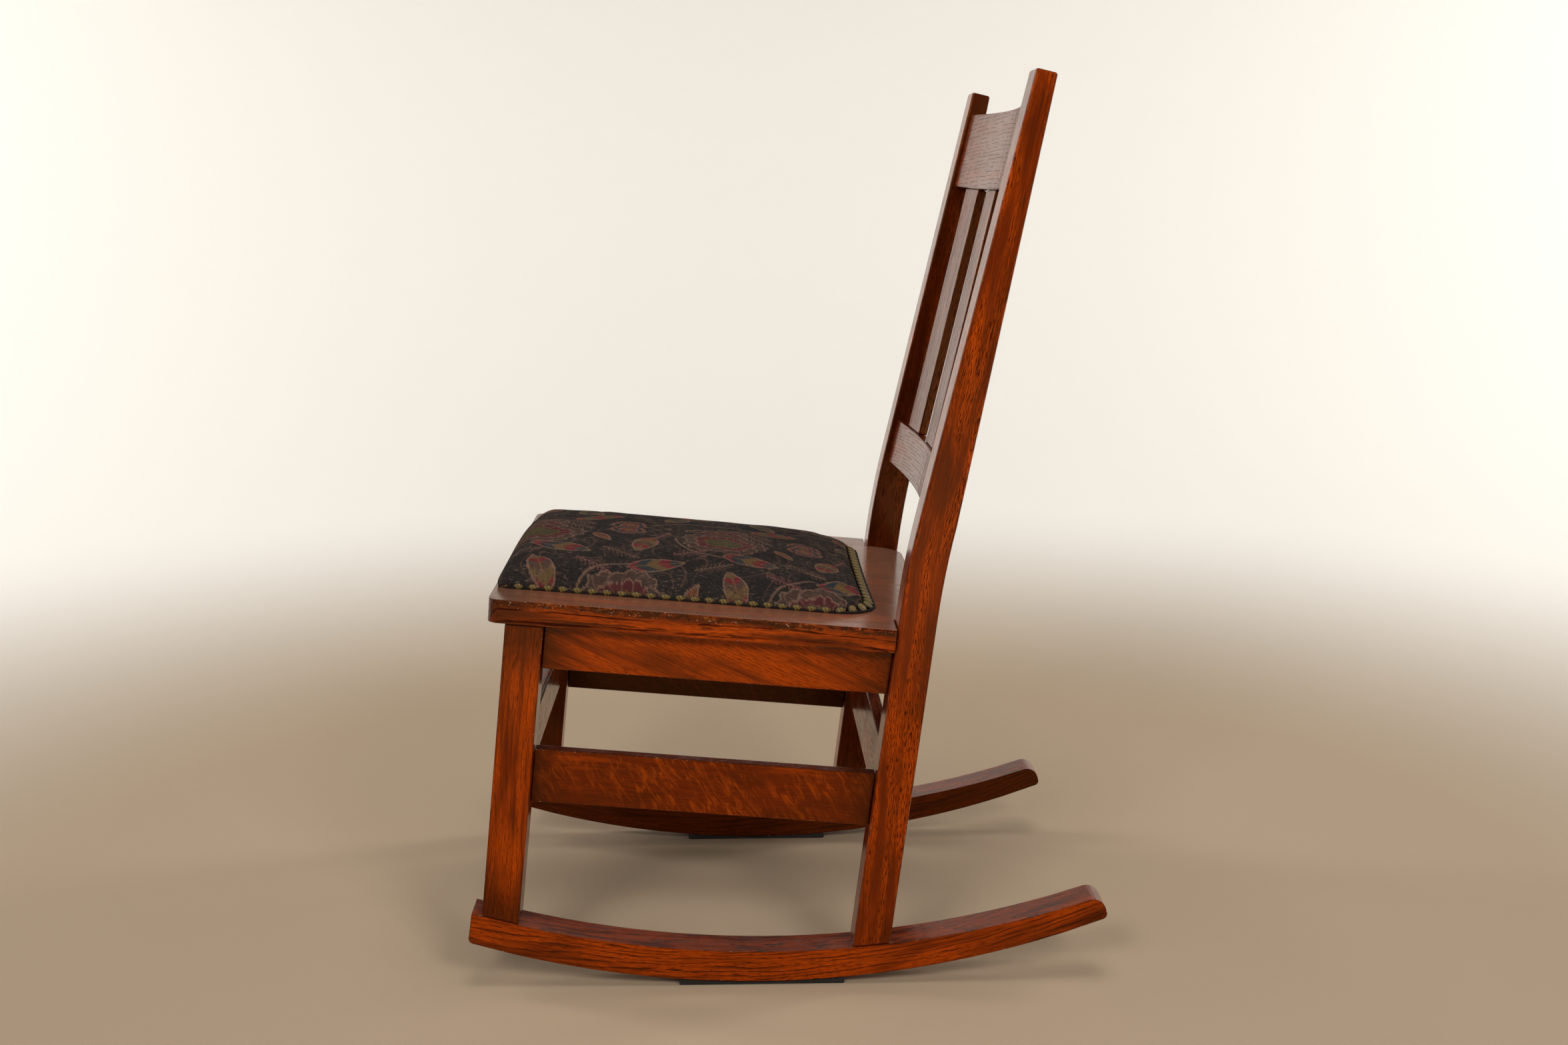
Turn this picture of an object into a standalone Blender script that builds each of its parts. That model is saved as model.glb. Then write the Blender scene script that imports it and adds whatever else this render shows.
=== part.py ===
"""A sewing rocking chair: a low, armless oak rocker with an upholstered seat pad.

Metres, +Z up. The sitter faces -Y, and +X is the sitter's left. The floor is Z = 0, and the origin
lies on it below the middle of the rockers' length.
"""

import math

import bmesh
import bpy
from mathutils import Matrix, Vector

NAME = "sewing_rocking_chair"

# Gap between pieces that touch or seat in each other, and the easing of sawn edges
FIT = 0.0003
EDGE_EASE = 0.0020
RAIL_EASE = 0.0010

# Rockers: two unlike arcs, so that the rocker thins towards its rear tip
ROCKER_LENGTH = 0.579
ROCKER_THICK = 0.034
ROCKER_DEPTH = 0.0285
ROCKER_LOWER_RADIUS = 0.880
ROCKER_UPPER_RADIUS = 0.925
ROCKER_LOW_Y = -0.025
ROCKER_UPPER_LOW_Y = -0.017
ROCKER_TIP_ROUND = 0.012
ROCKER_TIP_RAKE = 0.006
ROCKER_TOE_ROUND = 0.005
ROCKER_TOE_RAKE = 0.004

# Rest strips: flat below, hollowed to the rocker above
STRIP_LENGTH = 0.150
STRIP_WIDTH = 0.030
STRIP_THICK = 0.0035
STRIP_END_ROUND = 0.0015

# Legs and posts
FRAME_HALF_WIDTH = 0.195
LEG_THICK = 0.034
FRONT_LEG_DEPTH = 0.0335
FRONT_LEG_FOOT_Y = -0.2668
FRONT_LEG_LEAN = math.radians(6.0)
POST_DEPTH = 0.0335
POST_FOOT_Y = 0.0527
POST_LEAN = math.radians(7.15)
POST_BEND_Z = 0.388
POST_BEND_REACH = 0.045
POST_UPPER_LENGTH = 0.432
POST_TOP_DEPTH = 0.0185
POST_SPLAY = math.radians(1.5)
BACK_LEAN = math.radians(13.2)

# Seat board
SEAT_FRONT_Y = -0.2615
SEAT_FRONT_Z = 0.3633
SEAT_SLOPE = math.radians(4.9)
SEAT_THICK = 0.021
SEAT_HALF_WIDTH = 0.199
SEAT_LENGTH = 0.3925
SEAT_FRONT_CORNER = 0.010
SEAT_TONGUE_CORNER = 0.028
SEAT_EDGE_ROUND = 0.004

# Aprons and stretchers
APRON_HEIGHT = 0.041
APRON_THICK = 0.018
APRON_RECESS = 0.010
APRON_SHOULDER = 0.0055
STRETCHER_THICK = 0.012
STRETCHER_RECESS = 0.011
STRETCHER_SHOULDER = 0.003
STRETCHER_INSET = 0.001
SIDE_STRETCHER_HEIGHT = 0.049
SIDE_STRETCHER_DROP = 0.137
FRONT_STRETCHER_Z = 0.204
FRONT_STRETCHER_HEIGHT = 0.050
REAR_STRETCHER_Z = 0.172
REAR_STRETCHER_HEIGHT = 0.051
SIDE_TENON = 0.015
CROSS_TENON = 0.009
TENON_EDGE = 0.006

# Back rails, bowed away from the sitter, and the slats between them
CREST_BASE = 0.335
CREST_HEIGHT = 0.075
CREST_THICK = 0.012
CREST_INSET = 0.0045
CREST_BOW = 0.0125
LOWER_RAIL_BASE = 0.040
LOWER_RAIL_HEIGHT = 0.045
LOWER_RAIL_THICK = 0.014
LOWER_RAIL_INSET = 0.0055
LOWER_RAIL_BOW = 0.0125
BACK_TENON = 0.014
BACK_TENON_SHOULDER = 0.0025
BACK_TENON_EDGE = 0.008
SLAT_COUNT = 3
SLAT_WIDTH = 0.054
SLAT_THICK = 0.009
SLAT_PITCH = 0.100
SLAT_TENON = 0.010
SLAT_TENON_SHOULDER = 0.0015
SLAT_TENON_EDGE = 0.006

# Seat pad: outline sizes over the braid, measured on the seat board
PAD_HALF_WIDTH = 0.1555
PAD_FRONT_MARGIN = 0.0025
PAD_LENGTH = 0.341
PAD_FRONT_CORNER = 0.020
PAD_REAR_CORNER = 0.040
PAD_CROWN = 0.033
PAD_SIDE_DRAW = 0.002
PAD_SHOULDER_POWER = 1.8
PAD_EDGE_RISE = 0.004
PAD_FORWARD_LEAN = 0.15
PAD_CORE_HALF_WIDTH = 0.045
PAD_CORE_LENGTH = 0.090
PAD_CORE_FORWARD = 0.020
PAD_CORE_CORNER = 0.030
COVER_THICK = 0.0015
BRAID_WIDTH = 0.004
BRAID_HEIGHT = 0.0065
BRAID_EDGE_ROUND = 0.0012

# Hidden fixings
BLOCK_REACH = 0.052
BLOCK_HEIGHT = 0.030
SCREW_RADIUS = 0.0022
SCREW_HEAD_RADIUS = 0.0042
SCREW_HEAD_HEIGHT = 0.0025
SCREW_BITE = 0.012
SCREW_INSET = 0.019
DOWEL_RADIUS = 0.005
DOWEL_IN_LEG = 0.022
DOWEL_IN_ROCKER = 0.015

# Fineness of curves
ARC_STEPS = 28
CORNER_STEPS = 6
STRIP_STEPS = 12
BEND_STEPS = 6
BOW_STEPS = 14
PAD_RINGS = 8
PAD_RING_CROWDING = 1.5
ROD_SEGMENTS = 16
EASE_SEGMENTS = 2
SEAT_EDGE_SEGMENTS = 3
EASED_ANGLE = math.radians(40)
SETTLING_ROUNDS = 8
SAME_POINT = 1e-6

SIDES = {"left": 1, "right": -1}
PARTS = None
CUTTERS = None


def clear_scene():
    for obj in list(bpy.data.objects):
        bpy.data.objects.remove(obj, do_unlink=True)


def new_collection(name):
    collection = bpy.data.collections.new(name)
    bpy.context.scene.collection.children.link(collection)
    return collection


def finish(obj, colour, roughness, metallic=0.0):
    """Gives the piece its own material."""
    material = bpy.data.materials.new(obj.name + "_finish")
    material.use_nodes = True
    shader = material.node_tree.nodes["Principled BSDF"]
    shader.inputs["Base Color"].default_value = (*colour, 1.0)
    shader.inputs["Roughness"].default_value = roughness
    shader.inputs["Metallic"].default_value = metallic
    obj.data.materials.clear()
    obj.data.materials.append(material)
    return obj


def oak(obj):
    return finish(obj, (0.19, 0.048, 0.014), 0.26)


def beech(obj):
    return finish(obj, (0.55, 0.37, 0.20), 0.55)


def black_felt(obj):
    return finish(obj, (0.012, 0.012, 0.013), 0.85)


def black_tapestry(obj):
    return finish(obj, (0.020, 0.017, 0.019), 0.80)


def cotton(obj):
    return finish(obj, (0.62, 0.58, 0.50), 0.95)


def gold_braid(obj):
    return finish(obj, (0.30, 0.22, 0.07), 0.70)


def steel(obj):
    return finish(obj, (0.45, 0.44, 0.42), 0.40, 1.0)


def mesh_object(name, shape, matrix, collection):
    """An object holding the bmesh, with its faces turned outwards."""
    bmesh.ops.recalc_face_normals(shape, faces=shape.faces)
    mesh = bpy.data.meshes.new(name)
    shape.to_mesh(mesh)
    shape.free()
    obj = bpy.data.objects.new(name, mesh)
    obj.matrix_world = matrix
    collection.objects.link(obj)
    if collection is CUTTERS:
        obj.hide_render = True
        obj.display_type = "WIRE"
    return obj


def extruded(name, outlines, half, matrix, collection=None):
    """A flat outline, with any holes, thickened by half each way along its own normal."""
    curve = bpy.data.curves.new(name, "CURVE")
    curve.dimensions = "2D"
    curve.fill_mode = "BOTH"
    curve.extrude = half
    for outline in outlines:
        spline = curve.splines.new("POLY")
        spline.points.add(len(outline) - 1)
        for point, (a, b) in zip(spline.points, outline):
            point.co = (a, b, 0.0, 1.0)
        spline.use_cyclic_u = True
    flat = bpy.data.objects.new(name + "_outline", curve)
    PARTS.objects.link(flat)
    graph = bpy.context.evaluated_depsgraph_get()
    mesh = bpy.data.meshes.new_from_object(flat.evaluated_get(graph))
    bpy.data.objects.remove(flat, do_unlink=True)
    bpy.data.curves.remove(curve)
    shape = bmesh.new()
    shape.from_mesh(mesh)
    bpy.data.meshes.remove(mesh)
    bmesh.ops.remove_doubles(shape, verts=shape.verts, dist=SAME_POINT)
    return mesh_object(name, shape, matrix, collection or PARTS)


def block(name, size, matrix, collection=None):
    shape = bmesh.new()
    bmesh.ops.create_cube(shape, size=1.0)
    bmesh.ops.scale(shape, vec=size, verts=shape.verts)
    return mesh_object(name, shape, matrix, collection or PARTS)


def rod(name, radius, ends, collection=None):
    """A round rod between two end points."""
    start, end = ends
    shape = bmesh.new()
    bmesh.ops.create_cone(
        shape,
        cap_ends=True,
        segments=ROD_SEGMENTS,
        radius1=radius,
        radius2=radius,
        depth=(end - start).length,
    )
    turn = (end - start).to_track_quat("Z", "Y").to_matrix().to_4x4()
    return mesh_object(name, shape, Matrix.Translation((start + end) / 2) @ turn, collection or PARTS)


def loft(name, rings, matrix, capped=True):
    """Skins unlike closed sections that have the same number of points."""
    shape = bmesh.new()
    loops = [[shape.verts.new(point) for point in ring] for ring in rings]
    count = len(loops[0])
    for low, high in zip(loops, loops[1:]):
        for i in range(count):
            j = (i + 1) % count
            shape.faces.new((low[i], low[j], high[j], high[i]))
    shape.faces.new(loops[-1])
    if capped:
        shape.faces.new(loops[0])
    return mesh_object(name, shape, matrix, PARTS)


def ease(obj, width, segments=EASE_SEGMENTS):
    """Rounds the piece's sharp edges."""
    modifier = obj.modifiers.new("ease", "BEVEL")
    modifier.width = width
    modifier.segments = segments
    modifier.limit_method = "ANGLE"
    modifier.angle_limit = EASED_ANGLE
    return obj


def boolean(obj, operation, other):
    modifier = obj.modifiers.new(operation.lower(), "BOOLEAN")
    modifier.operation = operation
    modifier.object = other
    return obj


def cut(obj, cutters):
    for cutter in cutters:
        boolean(obj, "DIFFERENCE", cutter)


def side_plane(x):
    """Carries an outline drawn in (Y, Z) to the upright plane at this X."""
    return Matrix(((0, 0, 1, x), (1, 0, 0, 0), (0, 1, 0, 0), (0, 0, 0, 1)))


def seat_frame():
    """Origin at the middle of the seat's front top edge, +Y along the seat, +Z square to it."""
    place = Matrix.Translation((0, SEAT_FRONT_Y, SEAT_FRONT_Z))
    return place @ Matrix.Rotation(-SEAT_SLOPE, 4, "X")


def back_frame():
    """Origin at the posts' bend, +Y into the back's thickness, +Z up the back."""
    place = Matrix.Translation((0, POST_FOOT_Y + math.tan(POST_LEAN) * POST_BEND_Z, POST_BEND_Z))
    return place @ Matrix.Rotation(-BACK_LEAN, 4, "X")


def rounded(corners):
    """Closed outline through (a, b, radius) corners, each with its arc."""
    outline = []
    for i, (a, b, radius) in enumerate(corners):
        here = Vector((a, b))
        if radius == 0:
            outline.append((a, b))
            continue
        before = (Vector(corners[i - 1][:2]) - here).normalized()
        after = (Vector(corners[(i + 1) % len(corners)][:2]) - here).normalized()
        half_angle = before.angle(after) / 2
        middle = here + (before + after).normalized() * (radius / math.sin(half_angle))
        start = here + before * (radius / math.tan(half_angle)) - middle
        sweep = start.angle_signed(here + after * (radius / math.tan(half_angle)) - middle)
        for k in range(CORNER_STEPS + 1):
            turn = Matrix.Rotation(-sweep * k / CORNER_STEPS, 2)
            outline.append(tuple(middle + turn @ start))
    return outline


def shift(line, amount):
    return (line[0] + amount, line[1])


def meet(line, level):
    """Where Y = a + b Z crosses Z = c + s Y."""
    y = (line[0] + line[1] * level[0]) / (1 - line[1] * level[1])
    return (y, level[0] + level[1] * y)


def between(front, rear, low, high):
    return [meet(front, low), meet(rear, low), meet(rear, high), meet(front, high)]


def seat_level(below):
    """The line in (Y, Z) that lies this far below the seat's top, square to it."""
    slope = -math.tan(SEAT_SLOPE)
    return (SEAT_FRONT_Z - slope * SEAT_FRONT_Y - below / math.cos(SEAT_SLOPE), slope)


def front_leg_faces():
    """The front and rear faces of the front legs, as lines in (Y, Z)."""
    half = FRONT_LEG_DEPTH / 2 / math.cos(FRONT_LEG_LEAN)
    middle = (FRONT_LEG_FOOT_Y, math.tan(FRONT_LEG_LEAN))
    return shift(middle, -half), shift(middle, half)


def post_faces():
    """The front and rear faces of the posts below their bend, as lines in (Y, Z)."""
    front = (POST_FOOT_Y, math.tan(POST_LEAN))
    return front, shift(front, POST_DEPTH / math.cos(POST_LEAN))


def leg_inner_x():
    return FRAME_HALF_WIDTH - LEG_THICK


def leg_middle_x():
    return FRAME_HALF_WIDTH - LEG_THICK / 2


def post_outer_x(z):
    return FRAME_HALF_WIDTH + max(0.0, z - POST_BEND_Z) * math.tan(POST_SPLAY)


def arc_height(y, low_y, low_z, radius):
    return low_z + radius - math.sqrt(radius**2 - (y - low_y) ** 2)


def rocker_underside(y):
    return arc_height(y, ROCKER_LOW_Y, STRIP_THICK + FIT, ROCKER_LOWER_RADIUS)


def rocker_upside(y):
    return arc_height(y, ROCKER_UPPER_LOW_Y, STRIP_THICK + FIT + ROCKER_DEPTH, ROCKER_UPPER_RADIUS)


def on_rocker(line):
    """The point of a leg's face line that stands just clear of the rocker."""
    z = rocker_upside(line[0]) + FIT
    for _ in range(SETTLING_ROUNDS):
        z = rocker_upside(line[0] + line[1] * z) + FIT
    return (line[0] + line[1] * z, z)


def rocker(name, side):
    toe = -ROCKER_LENGTH / 2
    tip = ROCKER_LENGTH / 2
    toe_top = toe + ROCKER_TOE_RAKE
    tip_top = tip - ROCKER_TIP_RAKE
    steps = [k / ARC_STEPS for k in range(2, ARC_STEPS - 1)]
    lower = [toe + (tip - toe) * step for step in steps]
    upper = [tip_top + (toe_top - tip_top) * step for step in steps]
    corners = [(toe, rocker_underside(toe), ROCKER_TOE_ROUND)]
    corners += [(y, rocker_underside(y), 0) for y in lower]
    corners += [(tip, rocker_underside(tip), ROCKER_TOE_ROUND)]
    corners += [(tip_top, rocker_upside(tip_top), ROCKER_TIP_ROUND)]
    corners += [(y, rocker_upside(y), 0) for y in upper]
    corners += [(toe_top, rocker_upside(toe_top), 0)]
    plane = side_plane(side * leg_middle_x())
    return oak(ease(extruded(name, [rounded(corners)], ROCKER_THICK / 2, plane), EDGE_EASE))


def rest_strip(name, side):
    front = ROCKER_LOW_Y - STRIP_LENGTH / 2
    rear = ROCKER_LOW_Y + STRIP_LENGTH / 2
    corners = [(front, 0, STRIP_END_ROUND), (rear, 0, STRIP_END_ROUND)]
    for k in range(STRIP_STEPS + 1):
        y = rear - STRIP_LENGTH * k / STRIP_STEPS
        corners.append((y, rocker_underside(y) - FIT, 0))
    plane = side_plane(side * leg_middle_x())
    return black_felt(extruded(name, [rounded(corners)], STRIP_WIDTH / 2, plane))


def front_leg(name, side):
    front, rear = front_leg_faces()
    top = seat_level(SEAT_THICK + FIT)
    outline = [on_rocker(front), on_rocker(rear), meet(rear, top), meet(front, top)]
    plane = side_plane(side * leg_middle_x())
    return oak(ease(extruded(name, [outline], LEG_THICK / 2, plane), EDGE_EASE))


def post_stations():
    """Front and rear points in (Y, Z) up the post: foot, bend and top."""
    front, rear = post_faces()
    stations = [(on_rocker(front), on_rocker(rear))]
    bend = back_frame().to_translation().yz
    below = Vector((math.sin(POST_LEAN), math.cos(POST_LEAN)))
    above = Vector((math.sin(BACK_LEAN), math.cos(BACK_LEAN)))
    for k in range(BEND_STEPS + 1):
        share = k / BEND_STEPS
        way = (below * (1 - share) + above * share).normalized()
        point = bend - below * POST_BEND_REACH * (1 - share) ** 2 + above * POST_BEND_REACH * share**2
        stations.append((point, point + Vector((way.y, -way.x)) * POST_DEPTH))
    top = bend + above * POST_UPPER_LENGTH
    stations.append((top, top + Vector((above.y, -above.x)) * POST_TOP_DEPTH))
    return stations


def rear_post(name, side):
    rings = []
    for front, rear in post_stations():
        ring = []
        for (y, z), inset in ((front, LEG_THICK), (front, 0), (rear, 0), (rear, LEG_THICK)):
            ring.append((side * (post_outer_x(z) - inset), y, z))
        rings.append(ring)
    return oak(ease(loft(name, rings, Matrix()), EDGE_EASE))


def side_rail(name, side, levels, recess, thick, shoulder):
    """A board between a front leg and a post, its tenons, and the cutter for their mortises."""
    low, high = levels
    leg_rear = front_leg_faces()[1]
    post_front = post_faces()[0]
    plane = side_plane(side * (FRAME_HALF_WIDTH - recess - thick / 2))
    outline = between(shift(leg_rear, FIT), shift(post_front, -FIT), low, high)
    rail = oak(ease(extruded(name, [outline], thick / 2, plane), RAIL_EASE))
    tongues = []
    for label, grow in (("tenon", 0.0), ("mortise", FIT)):
        outline = between(
            shift(leg_rear, -SIDE_TENON - grow),
            shift(post_front, SIDE_TENON + grow),
            shift(low, TENON_EDGE - grow),
            shift(high, grow - TENON_EDGE),
        )
        half = thick / 2 - shoulder + grow
        tongues.append(extruded(f"{name}_{label}", [outline], half, plane, CUTTERS))
    boolean(rail, "UNION", tongues[0])
    return rail, tongues[1]


def cross_rail(name, faces, levels, shoulder):
    """A board between the left and right legs, its tenons, and the cutter for their mortises."""
    front, rear = faces
    low, high = levels
    outline = between(front, rear, low, high)
    rail = oak(ease(extruded(name, [outline], leg_inner_x() - FIT, side_plane(0)), RAIL_EASE))
    tongues = []
    for label, grow in (("tenon", 0.0), ("mortise", FIT)):
        outline = between(
            shift(front, shoulder - grow),
            shift(rear, grow - shoulder),
            shift(low, TENON_EDGE - grow),
            shift(high, grow - TENON_EDGE),
        )
        half = leg_inner_x() + CROSS_TENON + grow
        tongues.append(extruded(f"{name}_{label}", [outline], half, side_plane(0), CUTTERS))
    boolean(rail, "UNION", tongues[0])
    return rail, tongues[1]


def apron_levels():
    top = SEAT_THICK + FIT
    return seat_level(top + APRON_HEIGHT), seat_level(top)


def side_stretcher_levels():
    return seat_level(SIDE_STRETCHER_DROP + SIDE_STRETCHER_HEIGHT), seat_level(SIDE_STRETCHER_DROP)


def flat_levels(z, height):
    return (z, 0.0), (z + height, 0.0)


def centred(faces, thick):
    """Lines of a board of this thickness in the middle of a leg."""
    middle = ((faces[0][0] + faces[1][0]) / 2, faces[0][1])
    half = thick / 2 * math.hypot(1, faces[0][1])
    return shift(middle, -half), shift(middle, half)


def flush_behind(face, thick, inset):
    """Lines of a board whose rear face lies this far in front of a leg's rear face."""
    slant = math.hypot(1, face[1])
    return shift(face, -(inset + thick) * slant), shift(face, -inset * slant)


def flush_before(face, thick, inset):
    """Lines of a board whose front face lies this far behind a post's front face."""
    slant = math.hypot(1, face[1])
    return shift(face, inset * slant), shift(face, (inset + thick) * slant)


def on_seat(point):
    """A point of the (Y, Z) plane, as (distance along the seat, height over its top)."""
    local = seat_frame().inverted() @ Vector((0, *point))
    return local.y, local.z


def seat_board():
    post_front = post_faces()[0]
    underside = seat_level(SEAT_THICK)
    notch = min(on_seat(meet(post_front, level))[0] for level in (seat_level(0), underside)) - FIT
    tongue = leg_inner_x() - FIT
    corners = [
        (SEAT_HALF_WIDTH, 0, SEAT_FRONT_CORNER),
        (SEAT_HALF_WIDTH, notch, 0),
        (tongue, notch, 0),
        (tongue, SEAT_LENGTH, SEAT_TONGUE_CORNER),
    ]
    corners += [(-x, y, radius) for x, y, radius in reversed(corners)]
    place = seat_frame() @ Matrix.Translation((0, 0, -SEAT_THICK / 2))
    board = extruded("seat_board", [rounded(corners)], SEAT_THICK / 2, place)
    return oak(ease(board, SEAT_EDGE_ROUND, SEAT_EDGE_SEGMENTS))


def bowed(half, bow, x):
    """How far the bow stands behind the rail's ends at this X."""
    return bow * (1 - (x / half) ** 2)


def back_inner_x(t, h):
    """The posts' inner face at a point of the back, given by its depth and its height up the back."""
    return post_outer_x((back_frame() @ Vector((0, t, h))).z) - LEG_THICK


def back_rail(name, base, height, thick, inset, bow):
    """A rail sawn to a bow between the splayed posts, its tenons, and the cutter for their mortises."""
    rings = []
    for k in range(BOW_STEPS + 1):
        share = 2 * k / BOW_STEPS - 1
        set_back = inset + bow * (1 - share**2)
        section = ((0, 0), (0, height), (thick, height), (thick, 0))
        ring = []
        for t, h in section:
            x = share * (back_inner_x(set_back + t, base + h) - FIT)
            ring.append((x, set_back + t, base + h))
        rings.append(ring)
    rail = oak(ease(loft(name, rings, back_frame()), RAIL_EASE))
    mortises = []
    inner = back_inner_x(inset, base)
    for label, side in SIDES.items():
        for kind, grow in (("tenon", 0.0), ("mortise", FIT)):
            reach = back_inner_x(inset, base + height) + BACK_TENON + grow
            root = inner - BACK_TENON
            size = (
                reach - root,
                thick - 2 * (BACK_TENON_SHOULDER - grow),
                height - 2 * (BACK_TENON_EDGE - grow),
            )
            middle = (side * (root + reach) / 2, inset + thick / 2, base + height / 2)
            place = back_frame() @ Matrix.Translation(middle)
            tongue = block(f"{name}_{kind}_{label}", size, place, CUTTERS)
            if kind == "tenon":
                boolean(rail, "UNION", tongue)
            else:
                mortises.append(tongue)
    return rail, mortises


def slat_frame(x):
    """The slat's length, and its frame: origin at its foot, +Z up it, +X along the rails' bow."""
    foot_h = LOWER_RAIL_BASE + LOWER_RAIL_HEIGHT + FIT
    head_h = CREST_BASE - FIT
    foot_half = back_inner_x(LOWER_RAIL_INSET, foot_h)
    head_half = back_inner_x(CREST_INSET, head_h)
    foot_t = LOWER_RAIL_INSET + bowed(foot_half, LOWER_RAIL_BOW, x) + LOWER_RAIL_THICK / 2
    head_t = CREST_INSET + bowed(head_half, CREST_BOW, x) + CREST_THICK / 2
    foot = Vector((x, foot_t, foot_h))
    head = Vector((x, head_t, head_h))
    slope = -x * (LOWER_RAIL_BOW / foot_half**2 + CREST_BOW / head_half**2)
    up = (head - foot).normalized()
    along = Vector((1, slope, 0))
    along = (along - up * along.dot(up)).normalized()
    through = up.cross(along)
    turn = Matrix((along, through, up)).transposed().to_4x4()
    return (head - foot).length, back_frame() @ Matrix.Translation(foot) @ turn


def slat(name, x):
    """A flat slat with a tenon at each end, and the cutter for its mortises."""
    length, place = slat_frame(x)
    middle = place @ Matrix.Translation((0, 0, length / 2))
    board = oak(ease(block(name, (SLAT_WIDTH, SLAT_THICK, length), middle), RAIL_EASE))
    tongues = []
    for label, grow in (("tenon", 0.0), ("mortise", FIT)):
        size = (
            SLAT_WIDTH - 2 * (SLAT_TENON_EDGE - grow),
            SLAT_THICK - 2 * (SLAT_TENON_SHOULDER - grow),
            length + 2 * (SLAT_TENON + grow),
        )
        tongues.append(block(f"{name}_{label}", size, middle, CUTTERS))
    boolean(board, "UNION", tongues[0])
    return board, tongues[1]


def blend(outer, core, share):
    return outer + (core - outer) * share


def pad_outline(inset, share):
    """The pad's outline on the seat, from its edge (share 0) to its core (share 1)."""
    front = PAD_FRONT_MARGIN + inset
    rear = PAD_FRONT_MARGIN + PAD_LENGTH - inset
    core_middle = (front + rear) / 2 - PAD_CORE_FORWARD
    x = blend(PAD_HALF_WIDTH - inset, PAD_CORE_HALF_WIDTH, share)
    low = blend(front, core_middle - PAD_CORE_LENGTH / 2, share)
    high = blend(rear, core_middle + PAD_CORE_LENGTH / 2, share)
    front_radius = blend(PAD_FRONT_CORNER - inset, PAD_CORE_CORNER, share)
    rear_radius = blend(PAD_REAR_CORNER - inset, PAD_CORE_CORNER, share)
    corners = [(x, low, front_radius), (x, high, rear_radius)]
    corners += [(-x, high, rear_radius), (-x, low, front_radius)]
    return [drawn_in(a, b) for a, b in with_side_points(rounded(corners))]


def with_side_points(outline):
    """Adds points along the straight sides, so that they can draw in."""
    points = []
    steps = CORNER_STEPS + 1
    for i, point in enumerate(outline):
        points.append(point)
        if (i + 1) % steps:
            continue
        here = Vector(point)
        after = Vector(outline[(i + 1) % len(outline)])
        points += [tuple(here.lerp(after, k / steps)) for k in range(1, steps)]
    return points


def along_pad(y):
    """A distance on the seat as a share of the pad's length, from -1 at its front to 1 at its rear."""
    return (y - PAD_FRONT_MARGIN - PAD_LENGTH / 2) / (PAD_LENGTH / 2)


def drawn_in(x, y):
    """Pulls a point towards the pad's middle, most at the middle of a side and not at the corners."""
    u = x / PAD_HALF_WIDTH
    v = along_pad(y)
    return x - PAD_SIDE_DRAW * u * (1 - v**2), y - PAD_SIDE_DRAW * v * (1 - u**2)


def pad_rings(inset):
    """Closed sections of the crowned pad, inset all over by this much from the cover's outside."""
    edge = BRAID_WIDTH + FIT + inset
    rings = [[(x, y, FIT) for x, y in pad_outline(edge, 0.0)]]
    for k in range(PAD_RINGS):
        share = (k / (PAD_RINGS - 1)) ** PAD_RING_CROWDING
        swell = (1 - (1 - share) ** PAD_SHOULDER_POWER) ** (1 / PAD_SHOULDER_POWER)
        ring = []
        for x, y in pad_outline(edge, share):
            lean = 1 - PAD_FORWARD_LEAN * along_pad(y)
            rise = PAD_EDGE_RISE + (PAD_CROWN - PAD_EDGE_RISE) * swell * lean
            ring.append((x, y, FIT + rise - inset))
        rings.append(ring)
    return rings


def pad_cover():
    cover = loft("pad_cover", pad_rings(0.0), seat_frame(), capped=False)
    modifier = cover.modifiers.new("cloth", "SOLIDIFY")
    modifier.thickness = COVER_THICK
    modifier.offset = -1.0
    modifier.use_even_offset = True
    return black_tapestry(cover)


def pad_stuffing():
    return cotton(loft("pad_stuffing", pad_rings(COVER_THICK + FIT), seat_frame()))


def gimp_braid():
    place = seat_frame() @ Matrix.Translation((0, 0, FIT + BRAID_HEIGHT / 2))
    outlines = [pad_outline(0.0, 0.0), pad_outline(BRAID_WIDTH, 0.0)]
    braid = extruded("gimp_braid", outlines, BRAID_HEIGHT / 2, place)
    return gold_braid(ease(braid, BRAID_EDGE_ROUND))


def corner_place(end):
    """On the seat: where a corner block's face meets the cross apron, and the way into the frame."""
    top = SEAT_THICK + FIT
    levels = (seat_level(top), seat_level(top + BLOCK_HEIGHT))
    if end == "front":
        face = centred(front_leg_faces(), APRON_THICK)[1]
        return max(on_seat(meet(face, level))[0] for level in levels) + FIT, 1
    face = centred(post_faces(), APRON_THICK)[0]
    return min(on_seat(meet(face, level))[0] for level in levels) - FIT, -1


def leg_clearance(name, end, side):
    """A cutter that keeps a corner block clear of the leg that it stands against."""
    faces = front_leg_faces() if end == "front" else post_faces()
    below_block = seat_level(SEAT_THICK + 2 * BLOCK_HEIGHT)
    outline = between(shift(faces[0], -FIT), shift(faces[1], FIT), below_block, seat_level(0))
    return extruded(name, [outline], LEG_THICK / 2 + FIT, side_plane(side * leg_middle_x()), CUTTERS)


def corner_block(end, label):
    side = SIDES[label]
    name = f"corner_block_{end}_{label}"
    start, way = corner_place(end)
    x = FRAME_HALF_WIDTH - APRON_RECESS - APRON_THICK - FIT
    outline = [(side * x, start), (side * x, start + way * BLOCK_REACH), (side * (x - BLOCK_REACH), start)]
    depth = SEAT_THICK + FIT + BLOCK_HEIGHT / 2
    body = extruded(name, [outline], BLOCK_HEIGHT / 2, seat_frame() @ Matrix.Translation((0, 0, -depth)))
    cut(body, [leg_clearance(name + "_clearance", end, side)])
    return beech(body)


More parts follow.
